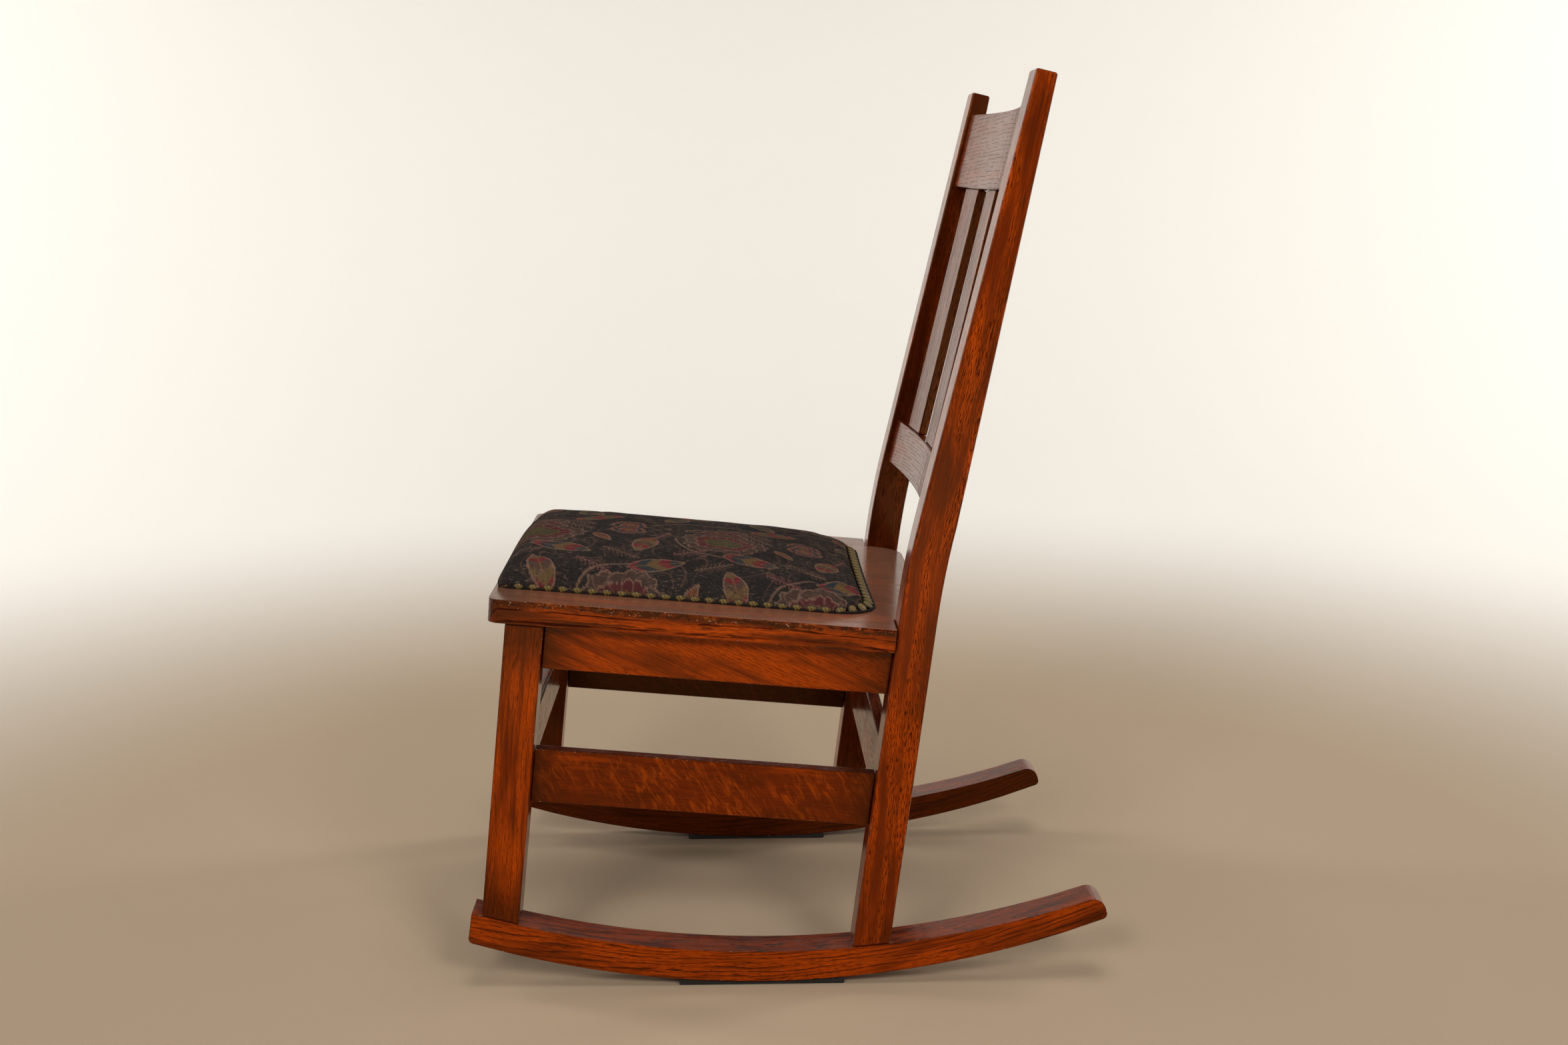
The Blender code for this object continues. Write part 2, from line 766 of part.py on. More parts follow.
def screw_axis(end, label, low, high):
    """A stretch of a seat screw's axis, given by depths below the seat's top."""
    start, way = corner_place(end)
    x = FRAME_HALF_WIDTH - APRON_RECESS - APRON_THICK - FIT - SCREW_INSET
    y = start + way * SCREW_INSET
    return [seat_frame() @ Vector((SIDES[label] * x, y, -depth)) for depth in (low, high)]


def seat_screw(end, label):
    """A screw up through a corner block into the seat board, and the cutter for its hole."""
    name = f"seat_screw_{end}_{label}"
    head_top = SEAT_THICK + FIT + BLOCK_HEIGHT + FIT
    head_foot = head_top + SCREW_HEAD_HEIGHT
    point = SEAT_THICK - SCREW_BITE
    screw = rod(name, SCREW_HEAD_RADIUS, screw_axis(end, label, head_foot, head_top))
    shank_start = head_top + SCREW_HEAD_HEIGHT / 2
    shank = rod(name + "_shank", SCREW_RADIUS, screw_axis(end, label, shank_start, point), CUTTERS)
    boolean(screw, "UNION", shank)
    hole = rod(name + "_hole", SCREW_RADIUS + FIT, screw_axis(end, label, head_foot, point - FIT), CUTTERS)
    return steel(screw), hole


def dowel_axis(end, side, grow):
    """The ends of the dowel that joins a leg to its rocker, lengthened by grow at both ends."""
    faces = front_leg_faces() if end == "front" else post_faces()
    front, rear = (Vector(on_rocker(face)) for face in faces)
    foot = (front + rear) / 2
    way = Vector((faces[0][1], 1)).normalized()
    x = side * leg_middle_x()
    low = foot - way * (DOWEL_IN_ROCKER + grow)
    high = foot + way * (DOWEL_IN_LEG + grow)
    return Vector((x, *low)), Vector((x, *high))


def rocker_dowel(end, label):
    """A dowel from a leg into its rocker, and the cutter for its hole."""
    name = f"rocker_dowel_{end}_{label}"
    dowel = rod(name, DOWEL_RADIUS, dowel_axis(end, SIDES[label], 0.0))
    hole = rod(name + "_hole", DOWEL_RADIUS + FIT, dowel_axis(end, SIDES[label], FIT), CUTTERS)
    return beech(dowel), hole


def build_frame():
    """Rockers, legs, posts, aprons, stretchers and their fixings."""
    apron = apron_levels()
    front_stretcher = flat_levels(FRONT_STRETCHER_Z, FRONT_STRETCHER_HEIGHT)
    rear_stretcher = flat_levels(REAR_STRETCHER_Z, REAR_STRETCHER_HEIGHT)
    leg_faces = front_leg_faces()
    back_faces = post_faces()
    behind = flush_behind(leg_faces[1], STRETCHER_THICK, STRETCHER_INSET)
    before = flush_before(back_faces[0], STRETCHER_THICK, STRETCHER_INSET)
    front_cuts = [
        cross_rail("apron_front", centred(leg_faces, APRON_THICK), apron, APRON_SHOULDER)[1],
        cross_rail("stretcher_front", behind, front_stretcher, STRETCHER_SHOULDER)[1],
    ]
    rear_cuts = [
        cross_rail("apron_rear", centred(back_faces, APRON_THICK), apron, APRON_SHOULDER)[1],
        cross_rail("stretcher_rear", before, rear_stretcher, STRETCHER_SHOULDER)[1],
    ]
    posts = {}
    for label, side in SIDES.items():
        side_cuts = [
            side_rail(f"apron_{label}", side, apron, APRON_RECESS, APRON_THICK, APRON_SHOULDER)[1],
            side_rail(
                f"stretcher_{label}",
                side,
                side_stretcher_levels(),
                STRETCHER_RECESS,
                STRETCHER_THICK,
                STRETCHER_SHOULDER,
            )[1],
        ]
        front_hole = rocker_dowel("front", label)[1]
        rear_hole = rocker_dowel("rear", label)[1]
        cut(rocker(f"rocker_{label}", side), [front_hole, rear_hole])
        rest_strip(f"rest_strip_{label}", side)
        cut(front_leg(f"front_leg_{label}", side), front_cuts + side_cuts + [front_hole])
        posts[label] = rear_post(f"rear_post_{label}", side)
        cut(posts[label], rear_cuts + side_cuts + [rear_hole])
    return posts


def build_back(posts):
    """Crest rail, lower rail and slats between the posts."""
    crest, crest_mortises = back_rail(
        "crest_rail", CREST_BASE, CREST_HEIGHT, CREST_THICK, CREST_INSET, CREST_BOW
    )
    lower, lower_mortises = back_rail(
        "lower_back_rail",
        LOWER_RAIL_BASE,
        LOWER_RAIL_HEIGHT,
        LOWER_RAIL_THICK,
        LOWER_RAIL_INSET,
        LOWER_RAIL_BOW,
    )
    for i, label in enumerate(SIDES):
        cut(posts[label], [crest_mortises[i], lower_mortises[i]])
    for k in range(SLAT_COUNT):
        x = ((SLAT_COUNT - 1) / 2 - k) * SLAT_PITCH
        mortise = slat(f"back_slat_{k + 1}", x)[1]
        cut(crest, [mortise])
        cut(lower, [mortise])


def build_seat():
    """Seat board, its corner blocks and screws, and the upholstered pad."""
    board = seat_board()
    for end in ("front", "rear"):
        for label in SIDES:
            hole = seat_screw(end, label)[1]
            cut(corner_block(end, label), [hole])
            cut(board, [hole])
    pad_stuffing()
    pad_cover()
    gimp_braid()


def build():
    global PARTS, CUTTERS
    clear_scene()
    PARTS = new_collection(NAME)
    CUTTERS = new_collection(NAME + "_cutters")
    posts = build_frame()
    build_back(posts)
    build_seat()


build()
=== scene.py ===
"""Looks of the sewing rocking chair: varnished oak, a tapestry pad with scalloped braid, a pale stage.

Metres and radians, in the CAD model's frame: +Z up, +Y to the rear, +X to the sitter's left.
"""

import math
from typing import NamedTuple

import bmesh
import bpy
import numpy as np
from mathutils import Matrix, Vector
from mathutils.bvhtree import BVHTree


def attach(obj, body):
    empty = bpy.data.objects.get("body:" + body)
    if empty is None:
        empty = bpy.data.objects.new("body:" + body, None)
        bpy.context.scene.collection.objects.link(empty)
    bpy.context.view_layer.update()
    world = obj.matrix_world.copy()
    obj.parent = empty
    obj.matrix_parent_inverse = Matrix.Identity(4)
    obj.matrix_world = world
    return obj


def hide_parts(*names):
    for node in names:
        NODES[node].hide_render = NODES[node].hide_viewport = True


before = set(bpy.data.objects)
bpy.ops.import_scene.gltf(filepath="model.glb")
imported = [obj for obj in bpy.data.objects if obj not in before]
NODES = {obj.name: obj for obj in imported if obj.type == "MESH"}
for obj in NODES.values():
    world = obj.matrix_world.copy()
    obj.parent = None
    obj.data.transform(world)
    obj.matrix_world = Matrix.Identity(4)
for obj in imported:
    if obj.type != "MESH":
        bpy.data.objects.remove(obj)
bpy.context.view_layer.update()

HANDS = ("left", "right")
ENDS = ("front", "rear")
SLATS = 3
X, Y, Z = 0, 1, 2

# Numbers of the Mix node's colour sockets
MIX_FIRST, MIX_SECOND, MIX_RESULT = 6, 7, 2


def colour(red, green, blue):
    return (red, green, blue, 1.0)


class Noise(NamedTuple):
    """A noise pattern: its cells to the metre, its make, and the limits between which its marks begin."""

    cells: tuple
    detail: float = 2.0
    roughness: float = 0.5
    low: float = 0.0
    high: float = 1.0
    distortion: float = 0.0
    turn: float = 0.0


# Places that the CAD model gives
SEAT_FRONT = Vector((0.0, -0.2615, 0.3633))
SEAT_SLOPE = math.radians(4.9)
SEAT = Matrix.Translation(SEAT_FRONT) @ Matrix.Rotation(-SEAT_SLOPE, 4, "X")
ROCKER_ARC_Y = -0.025
ROCKER_ARC_Z = 0.884
ROCKER_ARC_RADIUS = 0.880
POST_LEAN = math.radians(7.15)
BACK_LEAN = math.radians(13.2)
POST_BEND_Z = 0.388
FRONT_LEG_LEAN = math.radians(6.0)

# Pad outline over the braid, measured on the seat board
PAD_HALF_WIDTH = 0.1555
PAD_FRONT_MARGIN = 0.0025
PAD_LENGTH = 0.341
PAD_MIDDLE = PAD_FRONT_MARGIN + PAD_LENGTH / 2
PAD_FRONT_CORNERS = {"left": 0.012, "right": 0.036}
PAD_REAR_CORNER = 0.040
PAD_SIDE_DRAW = 0.002
BRAID_WIDTH = 0.004

# Camera, as fitted to the photograph
IMAGE_WIDTH = 2352
FOCAL_PIXELS = 2579.6
CAMERA_PLACE = Vector((1.6485, -0.0503, 0.7130))
CAMERA_PITCH = 0.1932
CAMERA_YAW = 0.0307
CAMERA_ROLL = 0.0016
SENSOR = 36.0

# Oak colours
OAK_LIGHT = colour(0.385, 0.047, 0.0010)
OAK_MIDDLE = colour(0.128, 0.0130, 0.0004)
OAK_DARK = colour(0.012, 0.0018, 0.0004)
OAK_FLECK = colour(0.360, 0.054, 0.0020)
OAK_WORN = colour(0.330, 0.085, 0.014)
# Dust with painted sheen, on the seat's top
OAK_DUST_AND_SHEEN = colour(0.150, 0.080, 0.050)
# Bare wood in chips, which is also a painted glint
OAK_CHIP_AND_GLINT = colour(0.480, 0.350, 0.260)

# Oak grain, in cells to the metre along, across and through a piece
PATCHES = Noise((9.0, 26.0, 26.0))
RINGED_PATCHES = (0.20, 0.46)
FLECKED_PATCHES = (0.30, 0.56)
BROAD_GRAIN = Noise((9.0, 110.0, 90.0), 3.0, low=0.36, high=0.66)
PORED_GRAIN = (0.36, 0.56)
FINE_GRAIN = Noise((40.0, 1500.0, 1200.0), 2.0, 0.65, 0.38, 0.64)
FINE_DEPTH = 0.34
PORES = Noise((140.0, 1700.0, 1400.0), 1.0, low=0.52, high=0.60)
RAY_FLECKS = Noise((58.0, 230.0, 90.0), 3.0, 0.6, 0.44, 0.72, distortion=0.8, turn=0.95)
RING_WANDER = Noise((5.0, 34.0, 34.0))
RING_SHIVER = Noise((24.0, 150.0, 150.0))
RING_BREAKS = Noise((34.0, 620.0, 480.0), low=0.38, high=0.52)
WANDER_RINGS = 5.0
SHIVER_RINGS = 1.1
RING_TILT = 0.35
RINGS_BEFORE = 100.0
TICK_LIMITS = (0.30, 0.65)
TICK_WAVER = 0.35
SEED_STEP = (1.7, 0.9, 0.6)

# Shade and wear of the oak
STAINS = Noise((11.0, 34.0, 34.0), 3.0, 0.6, 0.42, 0.68)
STAIN_DEPTH = 0.42
# Strength of the painted shade on faces that look inward
INNER_SHADE = 0.80
# Strength of the dust and painted shade on faces that look up
TOP_SHADE = 0.45
# Built-up finish and painted shade near the joints
JOINT_SHADE = 0.72
JOINT_SHADE_START = 0.060
JOINT_SHADE_FULL = 0.012
FACING_LIMITS = (0.5, 0.9)
EDGE_REACH = 0.0022
EDGE_LIMITS = (0.02, 0.16)
EDGE_SHADE = 0.55
RIM_LIMITS = (0.003, 0.009)
RUBS = Noise((45.0, 70.0, 70.0), 3.0, 0.7, 0.54, 0.68)
RUB_DEPTH = 0.45
NICKS = Noise((130.0, 220.0, 220.0), 4.0, 0.75, 0.50, 0.57)
NICK_DEPTH = 0.90
# Chips of bare wood, which also stand in as painted glints
CHIPS_AND_GLINTS = Noise((380.0, 480.0, 480.0), 2.0, 0.6, 0.66, 0.71)
CHIP_AND_GLINT_DEPTH = 0.80

# Varnish
VARNISH = colour(1.0, 0.40, 0.12)
VARNISH_ROUGHNESS = 0.17
SCUFFS = Noise((40.0, 55.0, 55.0), 4.0, 0.6, 0.45, 0.75)
SCUFF_ROUGHNESS = 0.08
TOP_DULLING = 0.22
RELIEF = 0.00007
RELIEF_STRENGTH = 0.8
PORE_RELIEF = -0.4
NICK_RELIEF = -6.0

# Hidden beech, steel screws and black strips
BEECH_LIGHT = colour(0.60, 0.42, 0.24)
BEECH_DARK = colour(0.40, 0.25, 0.12)
BEECH_SOILED = colour(0.16, 0.08, 0.03)
BEECH_GRAIN = Noise((40.0, 40.0, 400.0), 3.0)
BEECH_SOIL = Noise((60.0, 60.0, 60.0), 3.0, low=0.45, high=0.75)
BEECH_SOIL_DEPTH = 0.5
BEECH_RELIEF = 0.0002
STEEL_BRIGHT = colour(0.50, 0.48, 0.45)
STEEL_DARK = colour(0.20, 0.17, 0.14)
TARNISH = Noise((400.0, 400.0, 400.0), 3.0)
STEEL_ROUGHNESS = 0.3
TARNISH_ROUGHNESS = 0.3
STRIP_BLACK = colour(0.004, 0.003, 0.002)
STRIP_GREY = colour(0.014, 0.010, 0.007)
STRIP_DUSTY = colour(0.12, 0.10, 0.08)
STRIP_NAP = Noise((1400.0, 1400.0, 1400.0), 3.0)
STRIP_DUST = Noise((70.0, 70.0, 200.0), 3.0, low=0.50, high=0.80)
STRIP_DUST_DEPTH = 0.18
STRIP_RELIEF = 0.0004

# Pad form: a grid of rings round the middle, bulging over the braid; far means the sitter's right
PAD_STEPS = 36
PAD_FINER = 2
BRAID_LAP = 0.0008
PAD_INSET = BRAID_WIDTH - BRAID_LAP
PAD_REAR_INSET = 0.0080
PAD_FOOT = 0.0006
PAD_START = 0.90
PAD_SAMPLE = 0.995
PAD_SMOOTHING = 3
PAD_BULGE = 0.012
PAD_BULGE_REACH = 0.010
PAD_OVERHANG = 0.0105
PAD_SIDE_FULLNESS = 0.35
PAD_FAR_LOSS = 0.55
PAD_FAR_SINK = 0.07
PAD_REAR_FADE = (0.7, 1.0)
PAD_FRONT_FADE = (0.4, 1.0)
PAD_FAR_FADE = (0.2, 1.0)
PAD_SINK_FADE = (-0.2, 1.0)
BRAID_LIES_FLAT = (0.75, 0.97)
ABOVE_PAD = 0.2

# Cloth simulation of the pad, and the unevenness of its stuffing
SWELL_PRESSURE = 5.0
SWELL_MASS = 0.3
SWELL_STIFFNESS = 20
SWELL_BENDING = 0.5
SWELL_FRAMES = 20
PAD_MOST_SWELL = 0.0018
LEAST_TRAVEL = 1e-9
PUCKER_WAVES = ((0.071, 0.4, 0.3), (0.053, 1.9, 1.1), (0.094, 2.8, 2.0), (0.037, 1.1, 4.0))
PUCKER_DEPTH = 0.0005
PUCKER_START = 0.006
PUCKER_REACH = 0.015

# Colours and lines woven into the cover
BLACK = np.array((0.013, 0.0115, 0.0115))
BURGUNDY = np.array((0.170, 0.014, 0.024))
RUST = np.array((0.200, 0.050, 0.022))
GOLD = np.array((0.140, 0.086, 0.032))
OLIVE = np.array((0.075, 0.075, 0.026))
TEAL = np.array((0.020, 0.034, 0.042))
TAN = np.array((0.215, 0.130, 0.092))
BROWN = np.array((0.085, 0.048, 0.036))
ROSE = np.array((0.260, 0.105, 0.095))
MIDRIB = 0.0008
LEAF_ROUNDNESS = 0.8
LEAF_TAPER = 0.25
LEAF_BANDS = 2.6
LEAF_BAND_SWEEP = 2.2
LEAF_RIM = 0.0016
VEINS_TO_A_BAND = 3
VEIN_WIDTH = 0.08
VEIN_MARGIN = 0.0015
SPRIG_ROUNDNESS = 0.7
RIB_PITCH = 0.0095
RIB_SWEEP = 0.0052
RIB_WIDTH = 0.14
FLOWER_RINGS = (0.30, 0.55, 0.80, 1.0)
FLOWER_RUFFLE = (0.80, 0.14, 0.05, 3)
FLOWER_RIMS = (0.55, 1.0)
FLOWER_RIM = 0.0018
FLOWER_HEART = 0.26
FLOWER_DOTS = (1900, 0.25)
FOLD_REACH = (0.30, 0.95)
FOLD_SWIRL = 2.0
FOLD_WIDTH = 0.09
BLOOM_RINGS = (0.45, 0.72, 1.0)
BLOOM_RUFFLE = (0.78, 0.16, 0.04, 4)
BLOOM_HEART = 0.3
BLOOM_DOTS = (1500, 0.2)
RAYS_TO_A_PETAL = 1.5
RAY_SWAY = 0.3
RAY_SWAYS = 7
RAY_WIDTH = 0.06
CONTOUR = 0.0009
STALK = 0.0012
STALK_STEPS = 48
BROWN_TRACERY = ((0.060, 0.2, 0.0), (0.043, 1.4, 2.0), (0.071, 2.3, 1.0))
BROWN_LINE = 0.030
TAN_TRACERY = ((0.083, 0.9, 0.5), (0.052, 2.0, 1.7), (0.067, 2.9, 3.1))
TAN_LINE = 0.012
REPEAT_X, REPEAT_Y = 0.150, 0.172
PATTERN_X, PATTERN_Y = 0.022, 0.012
PATTERN_ROWS = range(-1, 2)
PATTERN_COLUMNS = range(-2, 3)
CLOTH_FALL = 0.35
FRONT_FALL_POWER = 4

# Threads of the cover, in cells to the metre across and along the seat
STITCH_PITCH = 0.0011
WEFT_CLOSENESS = 1.2
TWILL_CLOSENESS = 0.85
TWILL_SLANT = 0.8
WEFT_SHARE = 0.7
SLUB_SHARE = 2.4
SLUB_RELIEF = 2.0
STITCH_LIMITS = (0.1, 1.7)
STITCH_GAIN = colour(1.55, 1.42, 1.35)
SLUBS = Noise((1300.0, 520.0, 1.0), 2.0, 0.6, 0.54, 0.68)
WORN_CLOTH = Noise((22.0, 22.0, 1.0), 3.0)
FIBRES = Noise((1500.0, 260.0, 1.0), 2.0, 0.6, 0.35, 0.70)
LOOSE_THREADS = Noise((820.0, 150.0, 1.0), 2.0, 0.6, 0.58, 0.67)
CLOTH_GROUND = colour(0.009, 0.008, 0.008)
CLOTH_NAP = colour(0.038, 0.033, 0.030)
GROUND_COVER = 0.88
LINT = colour(0.120, 0.082, 0.065)
LINT_WEAR = (0.40, 0.62)
LINT_DEPTH = 0.35
LOOSE_THREAD = colour(0.190, 0.125, 0.100)
LOOSE_WEAR = (0.34, 0.60)
LOOSE_DEPTH = 0.60
CLOTH_RELIEF = 0.00025
CLOTH_RELIEF_STRENGTH = 0.9

# Braid: gold scallops on a black cord; both lie flatter along the pad's rear
OUTLINE_STEPS = 120
STEP_AHEAD = 0.001
BEADS = 94
BEAD_SIZE = (0.0050, 0.0027, 0.0034)
BEAD_INSET = 0.0010
BEAD_REAR_INSET = 0.0048
BEAD_HEIGHT = 0.0024
BEAD_REAR_LIFT = 0.0006
BEAD_REAR_TURN = -1.15
BEAD_REAR_SPREAD = 1.85
BEAD_TAPER = 0.15
GROOVE_DEPTH = 0.16
GROOVE_TURNS = 5.0
GROOVE_SLANT = 0.45
GROOVE_LIMITS = (0.05, 0.60)
# Where the painted shade round a scallop's rim gives way
BEAD_FRONT = (0.05, 0.65)
GOLD_BRIGHT = colour(0.215, 0.138, 0.032)
GOLD_DULL = colour(0.055, 0.035, 0.008)
# Painted shade in the scallops' grooves and round their rims
GOLD_PAINTED_SHADE = colour(0.012, 0.008, 0.003)
GOLD_PLY = Noise((1100.0, 1100.0, 1700.0), low=0.30, high=0.70)
GOLD_RELIEF = 0.0004
CORD_POINTS = 420
CORD_INSET = 0.0002
CORD_REAR_INSET = 0.0002
CORD_HEIGHT = 0.0011
CORD_RADIUS = 0.0012
CORD_FUZZ = 0.18
CORD_FUZZ_STEP = 2.1
CORD_BLACK = colour(0.004, 0.004, 0.004)
CORD_GREY = colour(0.018, 0.015, 0.013)
CORD_NAP = Noise((1800.0, 1800.0, 1800.0))
CORD_RELIEF = 0.0006

# Stage and light
FLOOR_RADIUS = 1.5
RISE_REACH = 3.4
RISE_STEPS = 40
STAGE_SIDES = 96
WALL_HEIGHT = 2.8
FLOOR_COLOUR = colour(0.375, 0.285, 0.195)
WALL_COLOUR = colour(0.86, 0.84, 0.80)
FLOOR_TO_WALL = (0.75, 2.2)
SAME_POINT = 1e-5
LAMP_TINT = (1.0, 0.97, 0.93)
SURROUND = colour(1.0, 0.98, 0.95)
SURROUND_STRENGTH = 0.05


class Lamp(NamedTuple):
    """A square softbox."""

    name: str
    place: tuple
    aim: tuple
    size: float
    watts: float


LAMPS = (
    Lamp("softbox_front", (2.10, -0.90, 1.65), (0, 0, 0.40), 0.6, 25),
    Lamp("softbox_rear", (2.10, 0.90, 1.70), (0, 0, 0.40), 0.6, 25),
    Lamp("softbox_top", (0.35, 0.10, 2.40), (0, 0, 0.30), 1.0, 22),
    Lamp("backdrop_front", (-1.2, -3.2, 2.4), (-4.6, -0.6, 0.9), 1.5, 90),
    Lamp("backdrop_rear", (-1.2, 3.2, 2.4), (-4.6, 0.6, 0.9), 1.5, 90),
)


class Shader:
    """Short calls that build one material's nodes."""

    def __init__(self, name):
        self.material = bpy.data.materials.new(name)
        self.material.use_nodes = True
        self.tree = self.material.node_tree
        self.surface = self.tree.nodes["Principled BSDF"]

    def put(self, socket, value):
        if isinstance(value, bpy.types.NodeSocket):
            self.tree.links.new(value, socket)
        else:
            socket.default_value = value

    def add(self, kind, inputs, **settings):
        node = self.tree.nodes.new("ShaderNode" + kind)
        for name, value in settings.items():
            setattr(node, name, value)
        for key, value in inputs.items():
            self.put(node.inputs[key], value)
        return node

    def set(self, **inputs):
        for name, value in inputs.items():
            self.put(self.surface.inputs[name.replace("_", " ")], value)

    def math(self, operation, a, b=0.0, c=0.0):
        return self.add("Math", {0: a, 1: b, 2: c}, operation=operation).outputs[0]

    def times(self, a, b):
        return self.math("MULTIPLY", a, b)

    def times_plus(self, a, b, c):
        return self.math("MULTIPLY_ADD", a, b, c)

    def rest(self, share):
        """What a share leaves of 1."""
        return self.math("SUBTRACT", 1.0, share)

    def wave(self, value, rate):
        return self.math("SINE", self.times(value, rate))

    def span(self, value, low, high):
        """0 below low, 1 above high, smooth between."""
        inputs = {"Value": value, "From Min": low, "From Max": high}
        return self.add("MapRange", inputs, interpolation_type="SMOOTHSTEP").outputs["Result"]

    def mix(self, factor, a, b, blend="MIX"):
        node = self.add("Mix", {"Factor": factor}, data_type="RGBA", blend_type=blend)
        self.put(node.inputs[MIX_FIRST], a)
        self.put(node.inputs[MIX_SECOND], b)
        return node.outputs[MIX_RESULT]

    def stain(self, base, tint, where, depth):
        """The base colour with a tint laid over part of it."""
        return self.mix(self.times(where, depth), base, tint)

    def mapped(self, vector, **settings):
        inputs = {name.capitalize(): value for name, value in settings.items()}
        return self.add("Mapping", {"Vector": vector, **inputs}).outputs[0]

    def field(self, vector, noise):
        """A pattern's raw noise."""
        place = vector
        if noise.turn:
            place = self.mapped(place, rotation=(0, 0, noise.turn))
        inputs = {
            "Vector": self.mapped(place, scale=noise.cells),
            "Scale": 1.0,
            "Detail": noise.detail,
            "Roughness": noise.roughness,
            "Distortion": noise.distortion,
        }
        return self.add("TexNoise", inputs).outputs["Fac"]

    def marks(self, vector, noise):
        """1 in a pattern's marks, 0 between them."""
        return self.span(self.field(vector, noise), noise.low, noise.high)

    def combine(self, x, y, z):
        return self.add("CombineXYZ", {0: x, 1: y, 2: z}).outputs[0]

    def separate(self, vector):
        return self.add("SeparateXYZ", {0: vector}).outputs

    def coordinates(self):
        return self.add("TexCoord", {}).outputs["Object"]

    def true_normal(self):
        return self.add("NewGeometry", {}).outputs["True Normal"]

    def attribute(self, name, kind):
        return self.add("Attribute", {}, attribute_name=name).outputs[kind]

    def bump(self, height, distance, strength=1.0):
        inputs = {"Height": height, "Distance": distance, "Strength": strength}
        return self.add("Bump", inputs).outputs["Normal"]


def add_object(name, data, place=None):
    """A new object in the scene, at the origin or at a place given as a matrix."""
    obj = bpy.data.objects.new(name, data)
    bpy.context.scene.collection.objects.link(obj)
    if place:
        obj.matrix_world = place
    return obj


def mesh_of(shape, name):
    """A new mesh from a bmesh, which is freed."""
    mesh = bpy.data.meshes.new(name)
    shape.to_mesh(mesh)
    shape.free()
    return mesh


def wear(node, material):
    """Puts the material on a CAD node."""
    obj = NODES[node]
    obj.data.materials.clear()
    obj.data.materials.append(material)


def along(axis, across):
    """Grain coordinates of a straight board: along one direction, across another, then through it."""
    long = Vector(axis).normalized()
    wide = Vector(across)
    wide = (wide - long * wide.dot(long)).normalized()
    turn = Matrix((long, wide, long.cross(wide))).to_euler("XYZ")

    def place(s):
        return s.mapped(s.coordinates(), rotation=turn)

    return place


def along_rocker(s):
    """Grain coordinates that follow the rocker's bend."""
    x, y, z = s.separate(s.coordinates())
    back = s.math("SUBTRACT", y, ROCKER_ARC_Y)
    down = s.math("SUBTRACT", ROCKER_ARC_Z, z)
    angle = s.math("ARCTAN2", back, down)
    squares = s.math("ADD", s.math("POWER", back, 2.0), s.math("POWER", down, 2.0))
    return s.combine(s.times(angle, ROCKER_ARC_RADIUS), s.math("SQRT", squares), x)


def along_post(s):
    """Grain coordinates that follow the post's bend."""
    x, y, z = s.separate(s.coordinates())
    above = s.math("MAXIMUM", s.math("SUBTRACT", z, POST_BEND_Z), 0.0)
    upper = s.times(above, math.tan(BACK_LEAN) - math.tan(POST_LEAN))
    axis = s.times_plus(z, math.tan(POST_LEAN), upper)
    return s.combine(z, s.math("SUBTRACT", y, axis), x)


def growth_rings(s, grain, spacing, width, waver=1.0):
    """Broken dark lines along the grain, sharp on one side, as open pores leave in ring-porous oak."""
    _, across, through = s.separate(grain)
    depth = s.times_plus(through, RING_TILT, across)
    count = s.math("ADD", s.math("DIVIDE", depth, spacing), RINGS_BEFORE)
    count = s.times_plus(s.field(grain, RING_WANDER), WANDER_RINGS * waver, count)
    count = s.times_plus(s.field(grain, RING_SHIVER), SHIVER_RINGS * waver, count)
    line = s.rest(s.span(s.math("FRACT", count), 0.0, width))
    return s.times(line, s.marks(grain, RING_BREAKS))


def facing(s, side):
    """1 on the faces that look to one side, 0 on the others; side gives how far a normal looks there."""
    normal = s.separate(s.true_normal())
    return s.span(side(s, normal), *FACING_LIMITS)


def inward(s, normal):
    """Towards the chair's middle, where the oak gets painted shade."""
    side = s.math("SIGN", s.separate(s.coordinates())[X])
    return s.times(s.times(side, normal[X]), -1.0)


def upward(s, normal):
    """Up, where dust has dulled the finish; the colour there is dust with painted shade, and on the seat dust
    with painted sheen.
    """
    return normal[Z]


def sideways(s, normal):
    """To the left or right, as the narrow edges of the slats look, where they get painted shade."""
    return s.math("ABSOLUTE", normal[X])


def sharp_edge(s):
    """1 along a piece's edges, 0 on its flats."""
    rounded = s.add("Bevel", {"Radius": EDGE_REACH}, samples=4).outputs["Normal"]
    inputs = {0: rounded, 1: s.true_normal()}
    same = s.add("VectorMath", inputs, operation="DOT_PRODUCT").outputs["Value"]
    return s.span(s.rest(same), *EDGE_LIMITS)


def seat_rim(s):
    """1 along the top of the seat's edge, where it is knocked and rubbed, 0 on its top and lower down."""
    _, y, z = s.separate(s.coordinates())
    fall = math.tan(SEAT_SLOPE)
    top = s.times_plus(y, -fall, SEAT_FRONT.z + SEAT_FRONT.y * fall)
    low = s.span(s.math("SUBTRACT", top, z), *RIM_LIMITS)
    return s.times(s.rest(low), s.rest(facing(s, upward)))


def near_joints(s, node, axis):
    """1 at the shoulders of a piece's joints, where built-up finish and painted shade make the oak darkest,
    fading out along the piece.
    """
    reach = [vertex.co[axis] for vertex in NODES[node].data.vertices]
    middle = (min(reach) + max(reach)) / 2
    half = (max(reach) - min(reach)) / 2
    off = s.math("ABSOLUTE", s.math("SUBTRACT", s.separate(s.coordinates())[axis], middle))
    return s.span(off, half - JOINT_SHADE_START, half - JOINT_SHADE_FULL)


